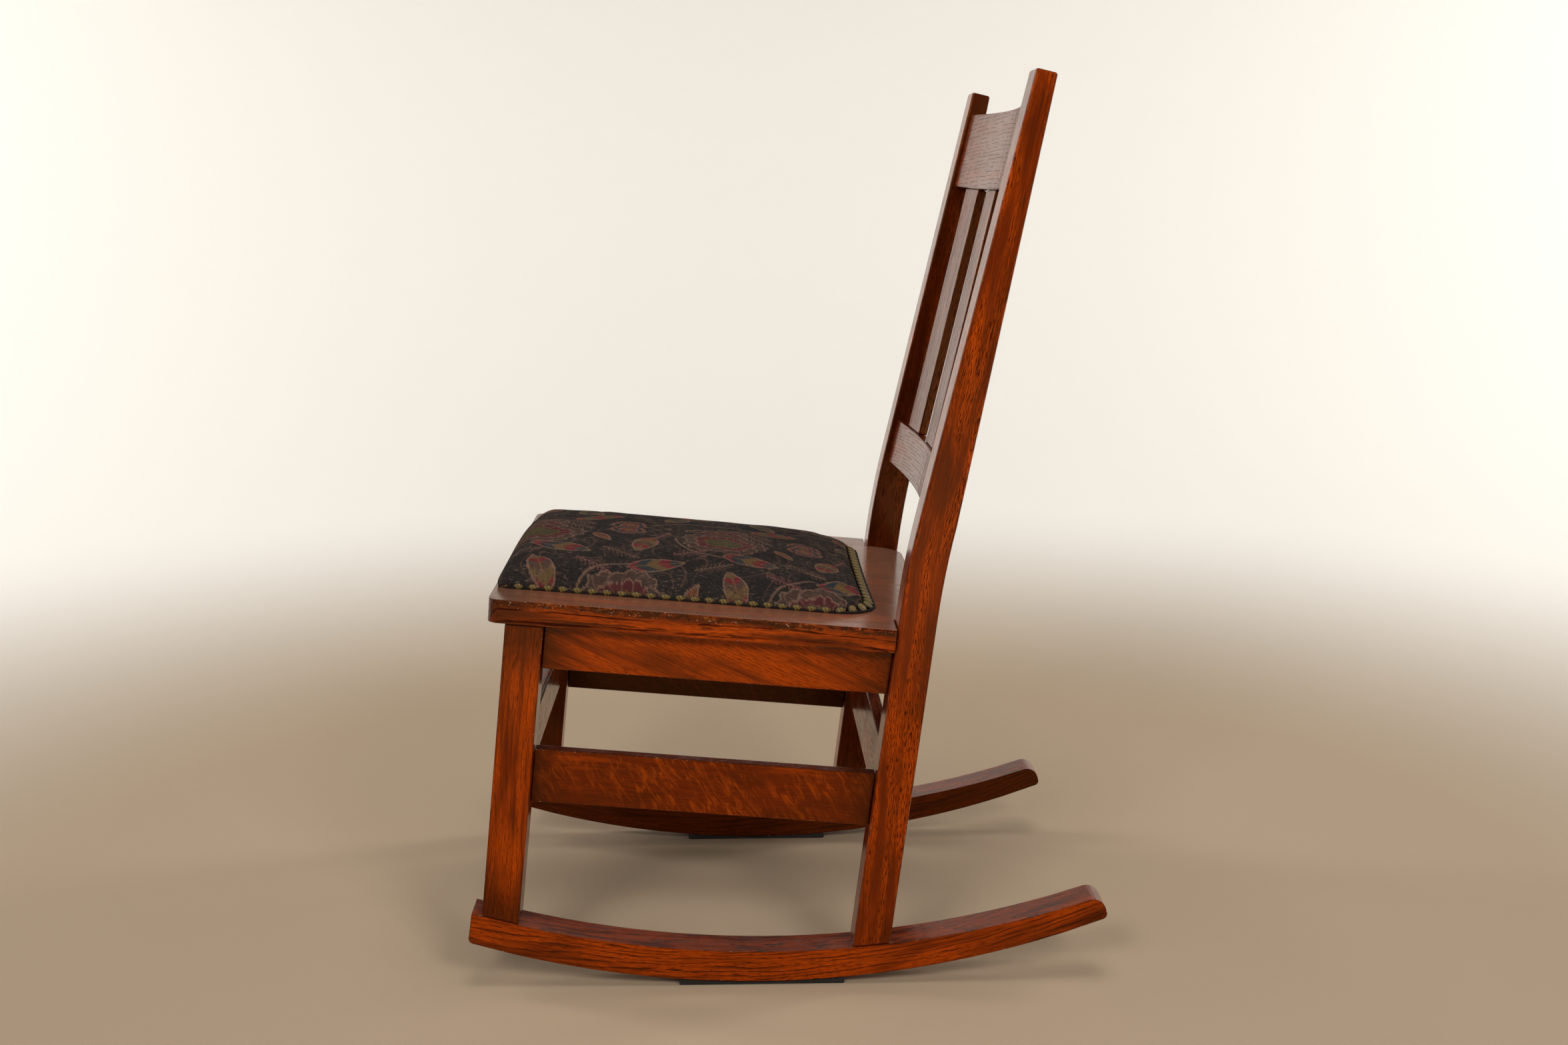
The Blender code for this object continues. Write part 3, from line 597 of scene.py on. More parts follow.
class Oak(NamedTuple):
    """How the oak of one kind of piece looks."""

    # Spacing of the growth rings, their width as a share of it, and their depth of colour
    rings: tuple = (0.004, 0.22, 0.5)
    # Depth of colour of the short pores
    dashes: float = 0.4
    # Depth of colour, spacing and width of open pores in rows
    ticks: tuple = None
    # Strength of the ray flecks
    flecks: float = 0.0
    # Turn of the grain across the piece
    slant: float = 0.0
    # Lighter above 0, darker below
    tone: float = 0.0
    # Axis along which the piece is darker at its ends
    joints: int = None
    # Colour and strength of the dust with painted shade on faces that look up; on the seat, dust with painted
    # sheen
    top: tuple = (OAK_DARK, TOP_SHADE)
    gloss: float = 0.50
    # Which faces get painted shade
    shaded: object = inward
    # What is worn besides the sharp edges
    rim: object = None


ROCKER_OAK = Oak((0.0046, 0.55, 0.85), dashes=0.5, slant=0.04, tone=0.10)
FRONT_LEG_OAK = Oak((0.0048, 0.26, 0.70), dashes=0.45, slant=0.02, tone=0.05, joints=Z)
REAR_POST_OAK = Oak((0.0034, 0.35, 0.40), dashes=0.85, slant=0.05, tone=0.02)
SIDE_APRON_OAK = Oak((0.0026, 0.50, 0.40), dashes=0.5, slant=0.36, tone=0.08, joints=Y)
SIDE_STRETCHER_OAK = Oak(dashes=0.3, flecks=0.6, tone=-0.22, joints=Y)
CROSS_STRETCHER_OAK = Oak(ticks=(0.50, 0.0040, 0.30), flecks=0.3, joints=X, gloss=0.34)
CROSS_APRON_OAK = Oak(ticks=(0.50, 0.0040, 0.30), flecks=0.2, joints=X, gloss=0.34)
SEAT_OAK = Oak(
    (0.0040, 0.55, 0.85), ticks=(0.45, 0.0036, 0.30), tone=0.03, joints=Y, top=(OAK_DUST_AND_SHEEN, 0.58), rim=seat_rim
)
CREST_OAK = Oak((0.0060, 0.20, 0.30), dashes=0.1, ticks=(0.60, 0.0036, 0.15), tone=-0.20, gloss=1.0)
LOWER_RAIL_OAK = Oak((0.0050, 0.20, 0.30), dashes=0.2, ticks=(0.60, 0.0030, 0.20), tone=-0.16, gloss=1.0)
SLAT_OAK = Oak(
    (0.0060, 0.35, 0.60), dashes=0.8, ticks=(0.50, 0.0044, 0.20), tone=-0.10, gloss=0.82, shaded=sideways
)


def bare_oak(s, look, grain, patch):
    """The wood before its wear: its colour, its relief, and how far its open pores dull the varnish."""
    spacing, width, depth = look.rings
    broad = s.field(grain, BROAD_GRAIN)
    ring = s.times(growth_rings(s, grain, spacing, width), s.span(patch, *RINGED_PATCHES))
    dash = s.times(s.marks(grain, PORES), s.span(broad, *PORED_GRAIN))
    light = s.span(broad, BROAD_GRAIN.low - look.tone, BROAD_GRAIN.high - look.tone)
    base = s.mix(light, OAK_MIDDLE, OAK_LIGHT)
    base = s.stain(base, OAK_DARK, s.marks(grain, FINE_GRAIN), FINE_DEPTH)
    base = s.stain(base, OAK_DARK, ring, depth)
    base = s.stain(base, OAK_DARK, dash, look.dashes)
    dull = s.times(dash, look.dashes)
    if look.ticks:
        depth, spacing, width = look.ticks
        tick = s.span(growth_rings(s, grain, spacing, width, TICK_WAVER), *TICK_LIMITS)
        base = s.stain(base, OAK_DARK, tick, depth)
        dull = s.math("MAXIMUM", dull, tick)
    relief = s.times(s.math("ADD", dash, ring), PORE_RELIEF)
    return base, relief, dull


def worn_edges(s, look, spot, base):
    """The colour with dark, rubbed, nicked and chipped edges, whose pale chips are also painted glints, and
    where the nicks are.
    """
    edge = sharp_edge(s)
    if look.rim:
        edge = s.math("MAXIMUM", edge, look.rim(s))
    base = s.stain(base, OAK_DARK, edge, EDGE_SHADE)
    base = s.stain(base, OAK_WORN, s.times(edge, s.marks(spot, RUBS)), RUB_DEPTH)
    nicks = s.times(s.times(edge, s.marks(spot, NICKS)), NICK_DEPTH)
    base = s.mix(nicks, base, OAK_DARK)
    # Pale chips of bare wood, which also stand in as painted glints
    base = s.stain(base, OAK_CHIP_AND_GLINT, s.times(edge, s.marks(spot, CHIPS_AND_GLINTS)), CHIP_AND_GLINT_DEPTH)
    return base, nicks


def oak(node, place, seed, look):
    """Varnished oak on a CAD node; place gives its grain coordinates, and each seed a figure of its own."""
    s = Shader(node + "_oak")
    spot = s.mapped(place(s), location=tuple(seed * step for step in SEED_STEP))
    grain = s.mapped(spot, rotation=(0, 0, look.slant))
    patch = s.field(spot, PATCHES)
    base, relief, dull = bare_oak(s, look, grain, patch)
    if look.flecks:
        fleck = s.times(s.marks(spot, RAY_FLECKS), s.span(patch, *FLECKED_PATCHES))
        base = s.stain(base, OAK_FLECK, fleck, look.flecks)
    if look.joints is not None:
        # Built-up finish and painted shade near the joints
        base = s.stain(base, OAK_DARK, near_joints(s, node, look.joints), JOINT_SHADE)
    base = s.stain(base, OAK_DARK, s.marks(spot, STAINS), STAIN_DEPTH)
    # Painted shade on inward faces, or on the slats' narrow edges
    base = s.stain(base, OAK_DARK, facing(s, look.shaded), INNER_SHADE)
    # Faces that look up: dust with painted shade, and on the seat dust with painted sheen
    above = facing(s, upward)
    top_tint, top_depth = look.top
    base = s.stain(base, top_tint, above, top_depth)
    base, nicks = worn_edges(s, look, spot, base)
    relief = s.times_plus(nicks, NICK_RELIEF, relief)
    shine = s.times_plus(above, -TOP_DULLING, look.gloss)
    s.set(
        Base_Color=base,
        Roughness=s.times_plus(s.marks(spot, SCUFFS), SCUFF_ROUGHNESS, VARNISH_ROUGHNESS),
        Normal=s.bump(relief, RELIEF, RELIEF_STRENGTH),
        Specular_IOR_Level=s.times(shine, s.rest(dull)),
        Specular_Tint=VARNISH,
        Coat_Weight=0.05,
        Coat_Roughness=0.12,
    )
    wear(node, s.material)


def dress_frame():
    """Oak on every piece of the frame, with the grain along each piece."""
    seat_run = (0, math.cos(SEAT_SLOPE), -math.sin(SEAT_SLOPE))
    cross = along((1, 0, 0), (0, 0, 1))
    side = along(seat_run, (0, 0, 1))
    seat = along(seat_run, (1, 0, 0))
    leg = along((0, math.sin(FRONT_LEG_LEAN), math.cos(FRONT_LEG_LEAN)), (0, 1, 0))
    slat = along((0, math.sin(BACK_LEAN), math.cos(BACK_LEAN)), (1, 0, 0))
    pieces = [(f"rocker_{hand}", along_rocker, ROCKER_OAK) for hand in HANDS]
    pieces += [(f"front_leg_{hand}", leg, FRONT_LEG_OAK) for hand in HANDS]
    pieces += [(f"rear_post_{hand}", along_post, REAR_POST_OAK) for hand in HANDS]
    pieces += [(f"apron_{hand}", side, SIDE_APRON_OAK) for hand in HANDS]
    pieces += [(f"stretcher_{hand}", side, SIDE_STRETCHER_OAK) for hand in HANDS]
    pieces += [(f"stretcher_{end}", cross, CROSS_STRETCHER_OAK) for end in ENDS]
    pieces += [(f"apron_{end}", cross, CROSS_APRON_OAK) for end in ENDS]
    pieces.append(("seat_board", seat, SEAT_OAK))
    pieces.append(("crest_rail", cross, CREST_OAK))
    pieces.append(("lower_back_rail", cross, LOWER_RAIL_OAK))
    pieces += [(f"back_slat_{k + 1}", slat, SLAT_OAK) for k in range(SLATS)]
    for seed, (node, place, look) in enumerate(pieces, start=1):
        oak(node, place, seed, look)


def beech(node, seed):
    """Bare, slightly soiled beech of the hidden blocks and dowels."""
    s = Shader(node + "_beech")
    spot = s.mapped(s.coordinates(), location=(seed, seed, seed))
    grain = s.field(spot, BEECH_GRAIN)
    base = s.mix(grain, BEECH_DARK, BEECH_LIGHT)
    base = s.stain(base, BEECH_SOILED, s.marks(spot, BEECH_SOIL), BEECH_SOIL_DEPTH)
    s.set(Base_Color=base, Roughness=0.6, Normal=s.bump(grain, BEECH_RELIEF))
    wear(node, s.material)


def steel(node):
    """Tarnished steel of the hidden screws."""
    s = Shader(node + "_steel")
    tarnish = s.field(s.coordinates(), TARNISH)
    base = s.mix(tarnish, STEEL_DARK, STEEL_BRIGHT)
    s.set(Base_Color=base, Metallic=1.0, Roughness=s.times_plus(tarnish, TARNISH_ROUGHNESS, STEEL_ROUGHNESS))
    wear(node, s.material)


def black_strip(node):
    """The dusty black strip under a rocker."""
    s = Shader(node + "_black")
    nap = s.field(s.coordinates(), STRIP_NAP)
    base = s.mix(nap, STRIP_BLACK, STRIP_GREY)
    base = s.stain(base, STRIP_DUSTY, s.marks(s.coordinates(), STRIP_DUST), STRIP_DUST_DEPTH)
    s.set(Base_Color=base, Roughness=0.9, Normal=s.bump(nap, STRIP_RELIEF))
    wear(node, s.material)


def dress_fixings():
    """Beech, steel and black strips on the pieces that hold the frame together and up."""
    for i, end in enumerate(ENDS):
        for j, hand in enumerate(HANDS):
            beech(f"corner_block_{end}_{hand}", 1.0 + i + 2 * j)
            beech(f"rocker_dowel_{end}_{hand}", 5.0 + i + 2 * j)
            steel(f"seat_screw_{end}_{hand}")
    for hand in HANDS:
        black_strip(f"rest_strip_{hand}")


def smooth(value, low, high):
    """0 below low, 1 above high, smooth between."""
    share = min(1.0, max(0.0, (value - low) / (high - low)))
    return share * share * (3 - 2 * share)


def pad_edge(direction, inset):
    """The pad's outline on the seat, inset from the braid's outside, in a direction of the unit square."""
    half = PAD_HALF_WIDTH - inset
    reach = PAD_LENGTH / 2 - inset
    x, y = direction[0] * half, direction[1] * reach
    front_corner = PAD_FRONT_CORNERS["left" if x > 0 else "right"]
    radius = (front_corner if y < 0 else PAD_REAR_CORNER) - inset
    over = Vector((abs(x) - half + radius, abs(y) - reach + radius))
    if over.x > 0 and over.y > 0:
        over = over.normalized() * radius
        x = math.copysign(half - radius + over.x, x)
        y = math.copysign(reach - radius + over.y, y)
    u, v = x / PAD_HALF_WIDTH, y / (PAD_LENGTH / 2)
    x -= PAD_SIDE_DRAW * u * (1 - v * v)
    y -= PAD_SIDE_DRAW * v * (1 - u * u)
    return Vector((x, y))


def cover_height():
    """A function that gives the CAD cover's height over the seat at a point of the seat."""
    to_seat = SEAT.inverted()
    mesh = NODES["pad_cover"].data
    points = [to_seat @ vertex.co for vertex in mesh.vertices]
    tree = BVHTree.FromPolygons(points, [tuple(face.vertices) for face in mesh.polygons])

    def height(x, y):
        hit = tree.ray_cast(Vector((x, y, ABOVE_PAD)), Vector((0, 0, -1)))[0]
        return hit.z if hit else 0.0

    return height


def fullness(u, v):
    """How far the stuffing bulges at a place of the edge: most in front, less on the far side, not behind."""
    side = PAD_SIDE_FULLNESS * (1 - smooth(v, *PAD_REAR_FADE))
    front = (1 - PAD_SIDE_FULLNESS) * smooth(-v, *PAD_FRONT_FADE)
    return (side + front) * (1 - PAD_FAR_LOSS * smooth(-u, *PAD_FAR_FADE))


def lie_flat(v):
    """How far the braid lies down on the seat: only along the pad's rear."""
    return smooth(v, *BRAID_LIES_FLAT)


def pad_inset(v):
    """Where the cover comes down, inside the braid's outside."""
    return PAD_INSET + PAD_REAR_INSET * lie_flat(v)


def pad_point(i, j, height):
    """One point of the pad's grid: on the CAD cover's shape, with the edge bulging over the braid."""
    ring = max(abs(i), abs(j))
    if not ring:
        return Vector((0.0, PAD_MIDDLE, PAD_FOOT + height(0.0, PAD_MIDDLE) * PAD_START))
    edge = pad_edge((i / ring, j / ring), pad_inset(j / ring))
    inside = edge.length * (1 - ring / PAD_STEPS) / PAD_BULGE_REACH
    full = fullness(i / ring, j / ring)
    spot = edge * (ring / PAD_STEPS)
    z = height(spot.x * PAD_SAMPLE, PAD_MIDDLE + spot.y * PAD_SAMPLE) * PAD_START
    z += PAD_BULGE * full * inside * math.exp(1 - inside)
    z *= 1 - PAD_FAR_SINK * smooth(-i / PAD_STEPS, *PAD_SINK_FADE)
    spot += edge.normalized() * PAD_OVERHANG * full * math.exp(-inside)
    return Vector((spot.x, PAD_MIDDLE + spot.y, PAD_FOOT + z))


def pad_mesh():
    """The pad's top and side as a grid drawn to its outline, with the numbers of its foot's points."""
    height = cover_height()
    shape = bmesh.new()
    span = range(-PAD_STEPS, PAD_STEPS + 1)
    grid = {(i, j): shape.verts.new(pad_point(i, j, height)) for i in span for j in span}
    steps = range(-PAD_STEPS, PAD_STEPS)
    for i in steps:
        for j in steps:
            shape.faces.new((grid[i, j], grid[i + 1, j], grid[i + 1, j + 1], grid[i, j + 1]))
    inner = [vertex for vertex in shape.verts if not vertex.is_boundary]
    for _ in range(PAD_SMOOTHING):
        bmesh.ops.smooth_vert(shape, verts=inner, factor=0.5, use_axis_z=True)
    rim = [(i, -PAD_STEPS) for i in steps]
    rim += [(PAD_STEPS, j) for j in steps]
    rim += [(-i, PAD_STEPS) for i in steps]
    rim += [(-PAD_STEPS, -j) for j in steps]
    foot = []
    for i, j in rim:
        place = pad_edge((i / PAD_STEPS, j / PAD_STEPS), pad_inset(j / PAD_STEPS))
        foot.append(shape.verts.new((place.x, PAD_MIDDLE + place.y, PAD_FOOT)))
    for k, key in enumerate(rim):
        after = (k + 1) % len(rim)
        shape.faces.new((grid[key], foot[k], foot[after], grid[rim[after]]))
    return mesh_of(shape, "seat_pad"), range(len(grid), len(grid) + len(foot))


def close_below(mesh):
    """A flat underside for the pad, out of sight on the seat."""
    shape = bmesh.new()
    shape.from_mesh(mesh)
    open_edges = [edge for edge in shape.edges if edge.is_boundary]
    middle = shape.verts.new((0.0, PAD_MIDDLE, PAD_FOOT))
    for edge in open_edges:
        first, second = edge.verts
        shape.faces.new((first, second, middle))
    bmesh.ops.recalc_face_normals(shape, faces=shape.faces)
    shape.to_mesh(mesh)
    shape.free()


def swell(pad, held):
    """Cloth under a little pressure, held along its rim, with each point's travel capped."""
    group = pad.vertex_groups.new(name="held")
    group.add(list(held), 1.0, "REPLACE")
    start = points_of(pad.data)
    cloth = pad.modifiers.new("swell", "CLOTH")
    cloth.settings.vertex_group_mass = "held"
    cloth.settings.use_pressure = True
    cloth.settings.uniform_pressure_force = SWELL_PRESSURE
    cloth.settings.mass = SWELL_MASS
    cloth.settings.tension_stiffness = SWELL_STIFFNESS
    cloth.settings.compression_stiffness = SWELL_STIFFNESS
    cloth.settings.bending_stiffness = SWELL_BENDING
    cloth.settings.effector_weights.gravity = 0.0
    scene = bpy.context.scene
    for step in range(SWELL_FRAMES):
        scene.frame_set(step + 1)
    result = pad.evaluated_get(bpy.context.evaluated_depsgraph_get())
    moved = points_of(result.to_mesh()) - start
    result.to_mesh_clear()
    travel = np.linalg.norm(moved, axis=1, keepdims=True)
    moved *= np.minimum(1.0, PAD_MOST_SWELL / np.maximum(travel, LEAST_TRAVEL))
    pad.modifiers.remove(cloth)
    pad.vertex_groups.clear()
    pad.data.vertices.foreach_set("co", (start + moved).ravel())
    scene.frame_set(1)


def points_of(mesh):
    points = np.empty(len(mesh.vertices) * 3)
    mesh.vertices.foreach_get("co", points)
    return points.reshape(-1, 3)


def ripple(x, y, waves):
    """A smooth uneven field: a sum of (length, direction, phase) waves, about -1 to 1."""
    total = np.zeros_like(x)
    for length, direction, phase in waves:
        run = x * math.cos(direction) + y * math.sin(direction)
        total += np.sin(2 * math.pi * run / length + phase)
    return total / len(waves)


def pucker(mesh):
    """Shallow unevenness of old stuffing, fading out at the rim."""
    points = points_of(mesh)
    x, y, z = points.T
    inside = np.clip((z - PUCKER_START) / PUCKER_REACH, 0, 1)
    points[:, 2] += PUCKER_DEPTH * ripple(x, y, PUCKER_WAVES) * inside
    mesh.vertices.foreach_set("co", points.ravel())
    mesh.update()


def seat_pad():
    """The stuffed, tapestry-covered pad, in place of the CAD cover and stuffing."""
    mesh, foot = pad_mesh()
    pad = add_object("seat_pad", mesh, SEAT)
    bpy.context.view_layer.update()
    swell(pad, foot)
    finer = pad.modifiers.new("finer", "SUBSURF")
    finer.levels = finer.render_levels = PAD_FINER
    graph = bpy.context.evaluated_depsgraph_get()
    fine = bpy.data.meshes.new_from_object(pad.evaluated_get(graph))
    pad.modifiers.remove(finer)
    pad.data = fine
    close_below(fine)
    pucker(fine)
    paint_tapestry(fine)
    fine.shade_smooth()
    fine.materials.append(tapestry())
    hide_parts("pad_cover", "pad_stuffing")
    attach(pad, "root")


def striped(phase, width):
    """True on lines at each half of the phase, with a width as a share of their spacing on either side."""
    return np.abs(phase % 1 - 0.5) > 0.5 - width


def dotted(s, t, rate, least):
    """True in a grid of dots."""
    return np.sin(s * rate) * np.sin(t * rate) > least


class Weaving:
    """Colours woven point by point into the cloth's plan."""

    def __init__(self, x, y):
        self.x, self.y = x, y
        self.colours = np.tile(BLACK, (len(x), 1))

    def lay(self, where, tint, strength=1.0):
        share = (np.clip(where, 0, 1) * strength)[:, None]
        self.colours = self.colours * (1 - share) + tint * share

    def turned(self, place, angle):
        """Coordinates about a place, along and across a direction."""
        dx, dy = self.x - place[0], self.y - place[1]
        ahead = dx * math.cos(angle) + dy * math.sin(angle)
        return ahead, dy * math.cos(angle) - dx * math.sin(angle)

    def ruffled(self, s, t, radius, petals, ruffle):
        """The turn round a bloom and the depth in it, 0 at its heart and 1 at its ruffled rim."""
        body, lobe, frill, frills = ruffle
        turn = np.arctan2(t, s)
        rim = body + lobe * np.abs(np.cos(turn * petals / 2)) + frill * np.cos(turn * petals * frills)
        return turn, np.hypot(s, t) / (radius * rim)

    def leaf(self, place, angle, length, width, tints):
        """A pointed leaf in slanting bands of colour, with veins, a midrib and a pale rim."""
        s, t = self.turned(place, angle)
        s = s / (length / 2)
        half = width / 2 * np.clip(1 - s**2, 0, 1) ** LEAF_ROUNDNESS * (1 - LEAF_TAPER * s)
        inside = half - np.abs(t)
        slant = s * LEAF_BANDS - np.abs(t) / width * LEAF_BAND_SWEEP
        bands = np.floor(slant % len(tints)).astype(int)
        for k, tint in enumerate(tints):
            self.lay((inside > 0) & (bands == k), tint, 0.95)
        self.lay((inside > VEIN_MARGIN) & striped(VEINS_TO_A_BAND * slant, VEIN_WIDTH), BLACK, 0.55)
        self.lay((np.abs(t) < MIDRIB) & (inside > 0), GOLD, 0.9)
        self.lay((inside > 0) & (inside < LEAF_RIM), TAN, 0.85)

    def sprig(self, place, angle, length, width, tint):
        """A fern leaf drawn in lines: a midrib and slanting ribs."""
        s, t = self.turned(place, angle)
        s = s / (length / 2)
        inside = np.abs(t) < width / 2 * np.clip(1 - s**2, 0, 1) ** SPRIG_ROUNDNESS
        ribs = striped(s * length / RIB_PITCH - np.abs(t) / RIB_SWEEP, RIB_WIDTH)
        self.lay(inside & ribs, tint, 0.50)
        self.lay(inside & (np.abs(t) < MIDRIB), tint, 0.60)

    def flower(self, place, angle, radius, petals, tints):
        """A ruffled bloom: petals in rings of colour round a dotted heart."""
        s, t = self.turned(place, angle)
        turn, depth = self.ruffled(s, t, radius, petals, FLOWER_RUFFLE)
        for low, high, tint in zip((0.0, *FLOWER_RINGS), FLOWER_RINGS, tints):
            self.lay((depth >= low) & (depth < high), tint, 0.92)
        folds = striped(turn * petals * 2 / math.pi + depth * FOLD_SWIRL, FOLD_WIDTH)
        start, end = FOLD_REACH
        self.lay((depth > start) & (depth < end) & folds, BLACK, 0.55)
        for edge in FLOWER_RIMS:
            self.lay((depth < edge) & (depth > edge - FLOWER_RIM / radius), TAN, 0.85)
        self.lay((depth < FLOWER_HEART) & dotted(s, t, *FLOWER_DOTS), GOLD, 0.9)

    def outline_bloom(self, place, angle, radius, petals):
        """A large bloom drawn in lines: lobed contours over a faintly coloured ground."""
        s, t = self.turned(place, angle)
        turn, depth = self.ruffled(s, t, radius, petals, BLOOM_RUFFLE)
        inner, middle, outer = BLOOM_RINGS
        self.lay(depth < inner, OLIVE, 0.55)
        self.lay((depth > inner) & (depth < middle), BURGUNDY, 0.40)
        self.lay((depth > middle) & (depth < outer), BROWN, 0.55)
        for edge, tint in zip(BLOOM_RINGS, (GOLD, TAN, TAN)):
            self.lay(np.abs(depth - edge) * radius < CONTOUR, tint, 0.85)
        sway = RAY_SWAY * np.sin(depth * RAY_SWAYS)
        rays = striped(turn * petals * RAYS_TO_A_PETAL / math.pi + sway, RAY_WIDTH)
        self.lay((depth > inner) & (depth < outer) & rays, TAN, 0.5)
        self.lay((depth < BLOOM_HEART) & dotted(s, t, *BLOOM_DOTS), GOLD, 0.7)

    def stem(self, start, middle, end, tint):
        """A thin curved stalk."""
        gap = np.full(len(self.x), 1.0)
        for k in range(STALK_STEPS + 1):
            share = k / STALK_STEPS
            px, py = (
                (1 - share) ** 2 * a + 2 * share * (1 - share) * b + share**2 * c
                for a, b, c in zip(start, middle, end)
            )
            gap = np.minimum(gap, np.hypot(self.x - px, self.y - py))
        self.lay(gap < STALK, tint, 0.75)

    def tracery(self, tint, waves, width, strength):
        """Fine wandering lines in the ground."""
        field = ripple(self.x, self.y, waves)
        self.lay(np.abs(field) < width, tint, strength)


def spray(weaving, at, flip):
    """One repeat of the pattern: a drawn bloom, banded leaves, sprigs, a small flower and their stalks."""

    def place(dx, dy):
        return at[0] + flip * dx, at[1] + dy

    def face(angle):
        return angle if flip > 0 else math.pi - angle

    weaving.stem(place(-0.060, -0.060), place(0.010, -0.040), place(0.004, 0.004), OLIVE)
    weaving.stem(place(0.004, -0.030), place(0.055, -0.026), place(0.058, 0.030), TAN)
    weaving.stem(place(-0.026, -0.054), place(-0.066, -0.006), place(-0.050, 0.062), TAN)
    weaving.stem(place(0.030, 0.066), place(0.052, 0.074), place(0.066, 0.060), BROWN)
    weaving.sprig(place(-0.030, 0.046), face(0.9), 0.046, 0.020, TAN)
    weaving.sprig(place(0.050, -0.014), face(2.2), 0.040, 0.018, ROSE)
    weaving.sprig(place(-0.056, -0.062), face(0.3), 0.044, 0.016, BROWN)
    weaving.sprig(place(0.066, -0.078), face(1.0), 0.042, 0.018, TAN)
    weaving.sprig(place(-0.004, -0.042), face(2.8), 0.034, 0.014, ROSE)
    weaving.outline_bloom(place(0.004, 0.016), face(0.4), 0.044, 5)
    weaving.leaf(place(0.060, 0.042), face(1.2), 0.056, 0.026, (BURGUNDY, TEAL, GOLD))
    weaving.leaf(place(-0.052, 0.066), face(1.9), 0.050, 0.022, (OLIVE, BURGUNDY))
    weaving.leaf(place(-0.066, -0.030), face(2.5), 0.040, 0.018, (BROWN, OLIVE, TEAL))
    weaving.leaf(place(0.036, -0.058), face(-0.3), 0.048, 0.022, (BURGUNDY, GOLD, BROWN))
    weaving.leaf(place(0.020, 0.074), face(0.5), 0.034, 0.012, (RUST, BROWN))
    weaving.flower(place(-0.016, -0.076), face(1.1), 0.019, 5, (GOLD, BURGUNDY, TEAL, RUST))


def paint_tapestry(mesh):
    """Weaves the pattern into a colour attribute, and keeps the cloth's plan as its thread coordinates."""
    points = points_of(mesh)
    height = points[:, 2]
    x, y = points[:, 0], points[:, 1] - PAD_MIDDLE
    front = np.clip(-y / (PAD_LENGTH / 2), 0, 1) ** FRONT_FALL_POWER
    x = x - np.sign(x) * height * CLOTH_FALL
    y = y + height * CLOTH_FALL * front
    weaving = Weaving(x, y)
    weaving.tracery(BROWN, BROWN_TRACERY, BROWN_LINE, 0.8)
    weaving.tracery(TAN, TAN_TRACERY, TAN_LINE, 0.35)
    for row in PATTERN_ROWS:
        for column in PATTERN_COLUMNS:
            odd = column % 2
            at = (column * REPEAT_X + PATTERN_X, (row + odd / 2) * REPEAT_Y + PATTERN_Y)
            spray(weaving, at, -1 if odd else 1)
    tints = np.column_stack([weaving.colours, np.ones(len(x))])
    attribute = mesh.color_attributes.new("pattern", "FLOAT_COLOR", "POINT")
    attribute.data.foreach_set("color", tints.ravel().astype(np.float32))
    threads = mesh.attributes.new("threads", "FLOAT_VECTOR", "POINT")
    threads.data.foreach_set("vector", np.column_stack([x, y, height]).ravel().astype(np.float32))


def tapestry():
    """Jacquard cloth: the woven colours broken up by dotted stitches, loose threads and worn ground."""
    s = Shader("tapestry")
    pattern = s.attribute("pattern", "Color")
    u, v, _ = s.separate(s.attribute("threads", "Vector"))
    plan = s.combine(u, v, 0.0)
    pitch = 2 * math.pi / STITCH_PITCH
    warp = s.wave(u, pitch)
    weft = s.wave(v, pitch * WEFT_CLOSENESS)
    twill = s.wave(s.times_plus(v, TWILL_SLANT, u), pitch * TWILL_CLOSENESS)
    slub = s.field(plan, SLUBS)
    worn = s.field(plan, WORN_CLOTH)
    stitch = s.times_plus(slub, SLUB_SHARE, s.times_plus(weft, WEFT_SHARE, twill))
    ground = s.mix(s.marks(plan, FIBRES), CLOTH_GROUND, CLOTH_NAP)
    stitched = s.mix(1.0, pattern, STITCH_GAIN, "MULTIPLY")
    base = s.stain(stitched, ground, s.span(stitch, *STITCH_LIMITS), GROUND_COVER)
    lint = s.times(s.span(slub, SLUBS.low, SLUBS.high), s.span(worn, *LINT_WEAR))
    base = s.stain(base, LINT, lint, LINT_DEPTH)
    loose = s.times(s.marks(plan, LOOSE_THREADS), s.span(worn, *LOOSE_WEAR))
    base = s.stain(base, LOOSE_THREAD, loose, LOOSE_DEPTH)
    relief = s.times_plus(slub, SLUB_RELIEF, s.times(warp, weft))
    normal = s.bump(relief, CLOTH_RELIEF, CLOTH_RELIEF_STRENGTH)
    s.set(Base_Color=base, Roughness=0.95, Specular_IOR_Level=0.02, Normal=normal)
    return s.material


def braid_path(inset, rear_inset, count):
    """Evenly spaced (place on the seat, direction, how flat the braid lies) round the pad."""
    corners = ((-1, -1), (1, -1), (1, 1), (-1, 1))
    points = []
    for k, start in enumerate(corners):
        end = corners[(k + 1) % len(corners)]
        for step in range(OUTLINE_STEPS):
            direction = [a + (b - a) * step / OUTLINE_STEPS for a, b in zip(start, end)]
            points.append(pad_edge(direction, inset + rear_inset * lie_flat(direction[1])))
    loop = np.array(points + points[:1])
    run = np.concatenate([[0], np.cumsum(np.hypot(*np.diff(loop, axis=0).T))])

    def at(distance):
        return Vector([np.interp(distance % run[-1], run, loop[:, axis]) for axis in (X, Y)])

    places = []
    for k in range(count):
        distance = run[-1] * k / count
        here = at(distance)
        way = (at(distance + STEP_AHEAD) - here).normalized()
        flat = lie_flat(here.y / (PAD_LENGTH / 2))
        places.append((Vector((here.x, here.y + PAD_MIDDLE)), way, flat))
    return places


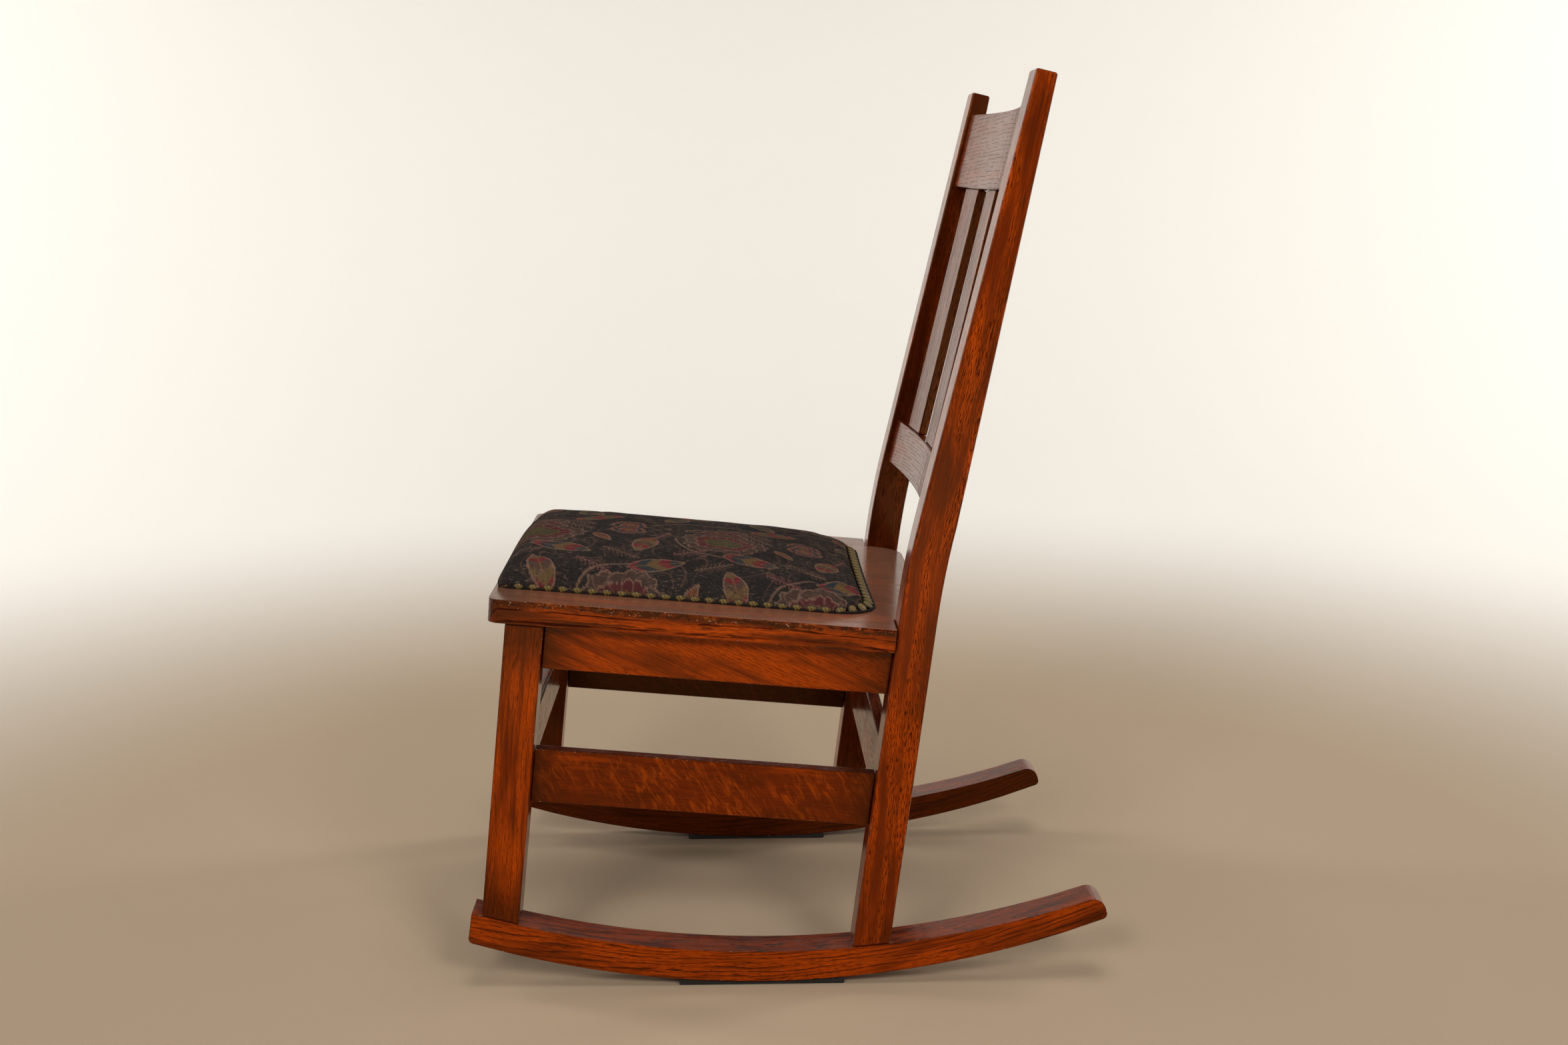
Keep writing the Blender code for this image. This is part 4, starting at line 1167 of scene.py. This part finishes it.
def bead_shape():
    """One scallop: a plump shell with slanting grooves, along X, bulging to -Y."""
    shape = bmesh.new()
    bmesh.ops.create_uvsphere(shape, u_segments=14, v_segments=9, radius=1.0)
    for vertex in shape.verts:
        x, y, z = vertex.co
        groove = 1 - GROOVE_DEPTH * abs(math.sin(GROOVE_TURNS * (x + GROOVE_SLANT * z)))
        vertex.co = Vector((x, y * groove, z * groove * (1 - BEAD_TAPER * x)))
    bmesh.ops.scale(shape, vec=BEAD_SIZE, verts=shape.verts)
    return mesh_of(shape, "scallop")


def bead_place(place, way, flat):
    """Where a scallop sits: turned to the braid's direction, and laid back and spread where it lies flat."""
    turn = Matrix.Rotation(math.atan2(way.y, way.x), 4, "Z") @ Matrix.Rotation(BEAD_REAR_TURN * flat, 4, "X")
    spread = Matrix.Diagonal((1.0, 1.0, 1.0 + (BEAD_REAR_SPREAD - 1.0) * flat, 1.0))
    height = BEAD_HEIGHT + BEAD_REAR_LIFT * flat
    return Matrix.Translation((place.x, place.y, height)) @ turn @ spread


def gimp_braid():
    """Gold scallops on a black chenille cord, in place of the CAD ring."""
    shape = bmesh.new()
    scallop = bead_shape()
    for spot in braid_path(BEAD_INSET, BEAD_REAR_INSET, BEADS):
        shape.from_mesh(scallop)
        shape.verts.ensure_lookup_table()
        bmesh.ops.transform(shape, matrix=bead_place(*spot), verts=shape.verts[-len(scallop.vertices) :])
    mesh = mesh_of(shape, "braid_scallops")
    mesh.shade_smooth()
    shells = np.tile(points_of(scallop) / BEAD_SIZE, (BEADS, 1))
    attribute = mesh.attributes.new("shell", "FLOAT_VECTOR", "POINT")
    attribute.data.foreach_set("vector", shells.ravel().astype(np.float32))
    mesh.materials.append(gold_thread())
    scallops = add_object("braid_scallops", mesh, SEAT)
    cord = chenille("braid_cord")
    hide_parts("gimp_braid")
    for piece in (scallops, cord):
        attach(piece, "root")


def gold_thread():
    """Tarnished gold thread, with painted shade in the grooves and round the rim of each scallop."""
    s = Shader("gold_thread")
    x, y, z = s.separate(s.attribute("shell", "Vector"))
    groove = s.math("ABSOLUTE", s.wave(s.times_plus(z, GROOVE_SLANT, x), GROOVE_TURNS))
    # Painted shade in the grooves and round the scallop's rim, where it turns away
    raised = s.times(s.span(groove, *GROOVE_LIMITS), s.span(s.times(y, -1.0), *BEAD_FRONT))
    ply = s.field(s.coordinates(), GOLD_PLY)
    base = s.mix(s.span(ply, GOLD_PLY.low, GOLD_PLY.high), GOLD_DULL, GOLD_BRIGHT)
    base = s.mix(raised, GOLD_PAINTED_SHADE, base)
    s.set(Base_Color=base, Roughness=0.60, Specular_IOR_Level=0.25, Normal=s.bump(ply, GOLD_RELIEF))
    return s.material


def chenille(name):
    """A black fuzzy cord along the braid's outer edge."""
    curve = bpy.data.curves.new(name, "CURVE")
    curve.dimensions = "3D"
    curve.bevel_depth = CORD_RADIUS
    curve.bevel_resolution = 2
    places = braid_path(CORD_INSET, CORD_REAR_INSET, CORD_POINTS)
    spline = curve.splines.new("POLY")
    spline.points.add(len(places) - 1)
    for k, (point, (place, _, _)) in enumerate(zip(spline.points, places)):
        point.co = (place.x, place.y, CORD_HEIGHT, 1.0)
        point.radius = 1.0 + CORD_FUZZ * math.sin(k * CORD_FUZZ_STEP)
    spline.use_cyclic_u = True
    s = Shader(name + "_chenille")
    nap = s.field(s.coordinates(), CORD_NAP)
    base = s.mix(nap, CORD_BLACK, CORD_GREY)
    s.set(Base_Color=base, Roughness=0.95, Specular_IOR_Level=0.1, Normal=s.bump(nap, CORD_RELIEF))
    curve.materials.append(s.material)
    return add_object(name, curve, SEAT)


def stage():
    """A round pale floor that sweeps up into a wall, out of the way of every view."""
    profile = [(0.0, 0.0)]
    for k in range(RISE_STEPS + 1):
        share = k / RISE_STEPS
        profile.append((FLOOR_RADIUS + RISE_REACH * share, WALL_HEIGHT * share**3))
    shape = bmesh.new()
    verts = [shape.verts.new((radius, 0.0, z)) for radius, z in profile]
    edges = [shape.edges.new(pair) for pair in zip(verts, verts[1:])]
    turn = {"axis": (0, 0, 1), "cent": (0, 0, 0), "angle": 2 * math.pi, "steps": STAGE_SIDES}
    bmesh.ops.spin(shape, geom=verts + edges, use_merge=True, **turn)
    bmesh.ops.remove_doubles(shape, verts=shape.verts, dist=SAME_POINT)
    bmesh.ops.recalc_face_normals(shape, faces=shape.faces)
    mesh = mesh_of(shape, "stage")
    mesh.shade_smooth()
    s = Shader("stage")
    x, y, _ = s.separate(s.coordinates())
    reach = s.math("SQRT", s.math("ADD", s.math("POWER", x, 2.0), s.math("POWER", y, 2.0)))
    base = s.mix(s.span(reach, *FLOOR_TO_WALL), FLOOR_COLOUR, WALL_COLOUR)
    s.set(Base_Color=base, Roughness=0.7, Specular_IOR_Level=0.2)
    mesh.materials.append(s.material)
    add_object("stage", mesh)


def softbox(lamp):
    """A soft light that the camera doesn't see."""
    data = bpy.data.lights.new(lamp.name, "AREA")
    data.shape = "RECTANGLE"
    data.size = data.size_y = lamp.size
    data.energy = lamp.watts
    data.color = LAMP_TINT
    light = add_object(lamp.name, data)
    light.visible_camera = False
    light.location = lamp.place
    light.rotation_euler = (Vector(lamp.aim) - Vector(lamp.place)).to_track_quat("-Z", "Y").to_euler()


def lighting():
    """Two softboxes beside the camera, one overhead, two more on the backdrop, and a dim even surround."""
    for lamp in LAMPS:
        softbox(lamp)
    world = bpy.data.worlds.new("surround")
    bpy.context.scene.world = world
    world.use_nodes = True
    back = world.node_tree.nodes["Background"]
    back.inputs["Color"].default_value = SURROUND
    back.inputs["Strength"].default_value = SURROUND_STRENGTH


def camera():
    """The photograph's camera."""
    level = math.cos(CAMERA_PITCH)
    forward = Vector((-math.cos(CAMERA_YAW) * level, math.sin(CAMERA_YAW) * level, -math.sin(CAMERA_PITCH)))
    right = Vector((math.sin(CAMERA_YAW), math.cos(CAMERA_YAW), 0.0))
    turn = Matrix((right, right.cross(forward), -forward)).transposed().to_4x4()
    roll = Matrix.Rotation(CAMERA_ROLL, 4, "Z")
    lens = bpy.data.cameras.new("camera")
    lens.sensor_fit = "HORIZONTAL"
    lens.sensor_width = SENSOR
    lens.lens = SENSOR * FOCAL_PIXELS / IMAGE_WIDTH
    view = add_object("camera", lens, Matrix.Translation(CAMERA_PLACE) @ turn @ roll)
    bpy.context.scene.camera = view


camera()
dress_frame()
dress_fixings()
seat_pad()
gimp_braid()
stage()
lighting()
bpy.context.scene.view_settings.view_transform = "Standard"
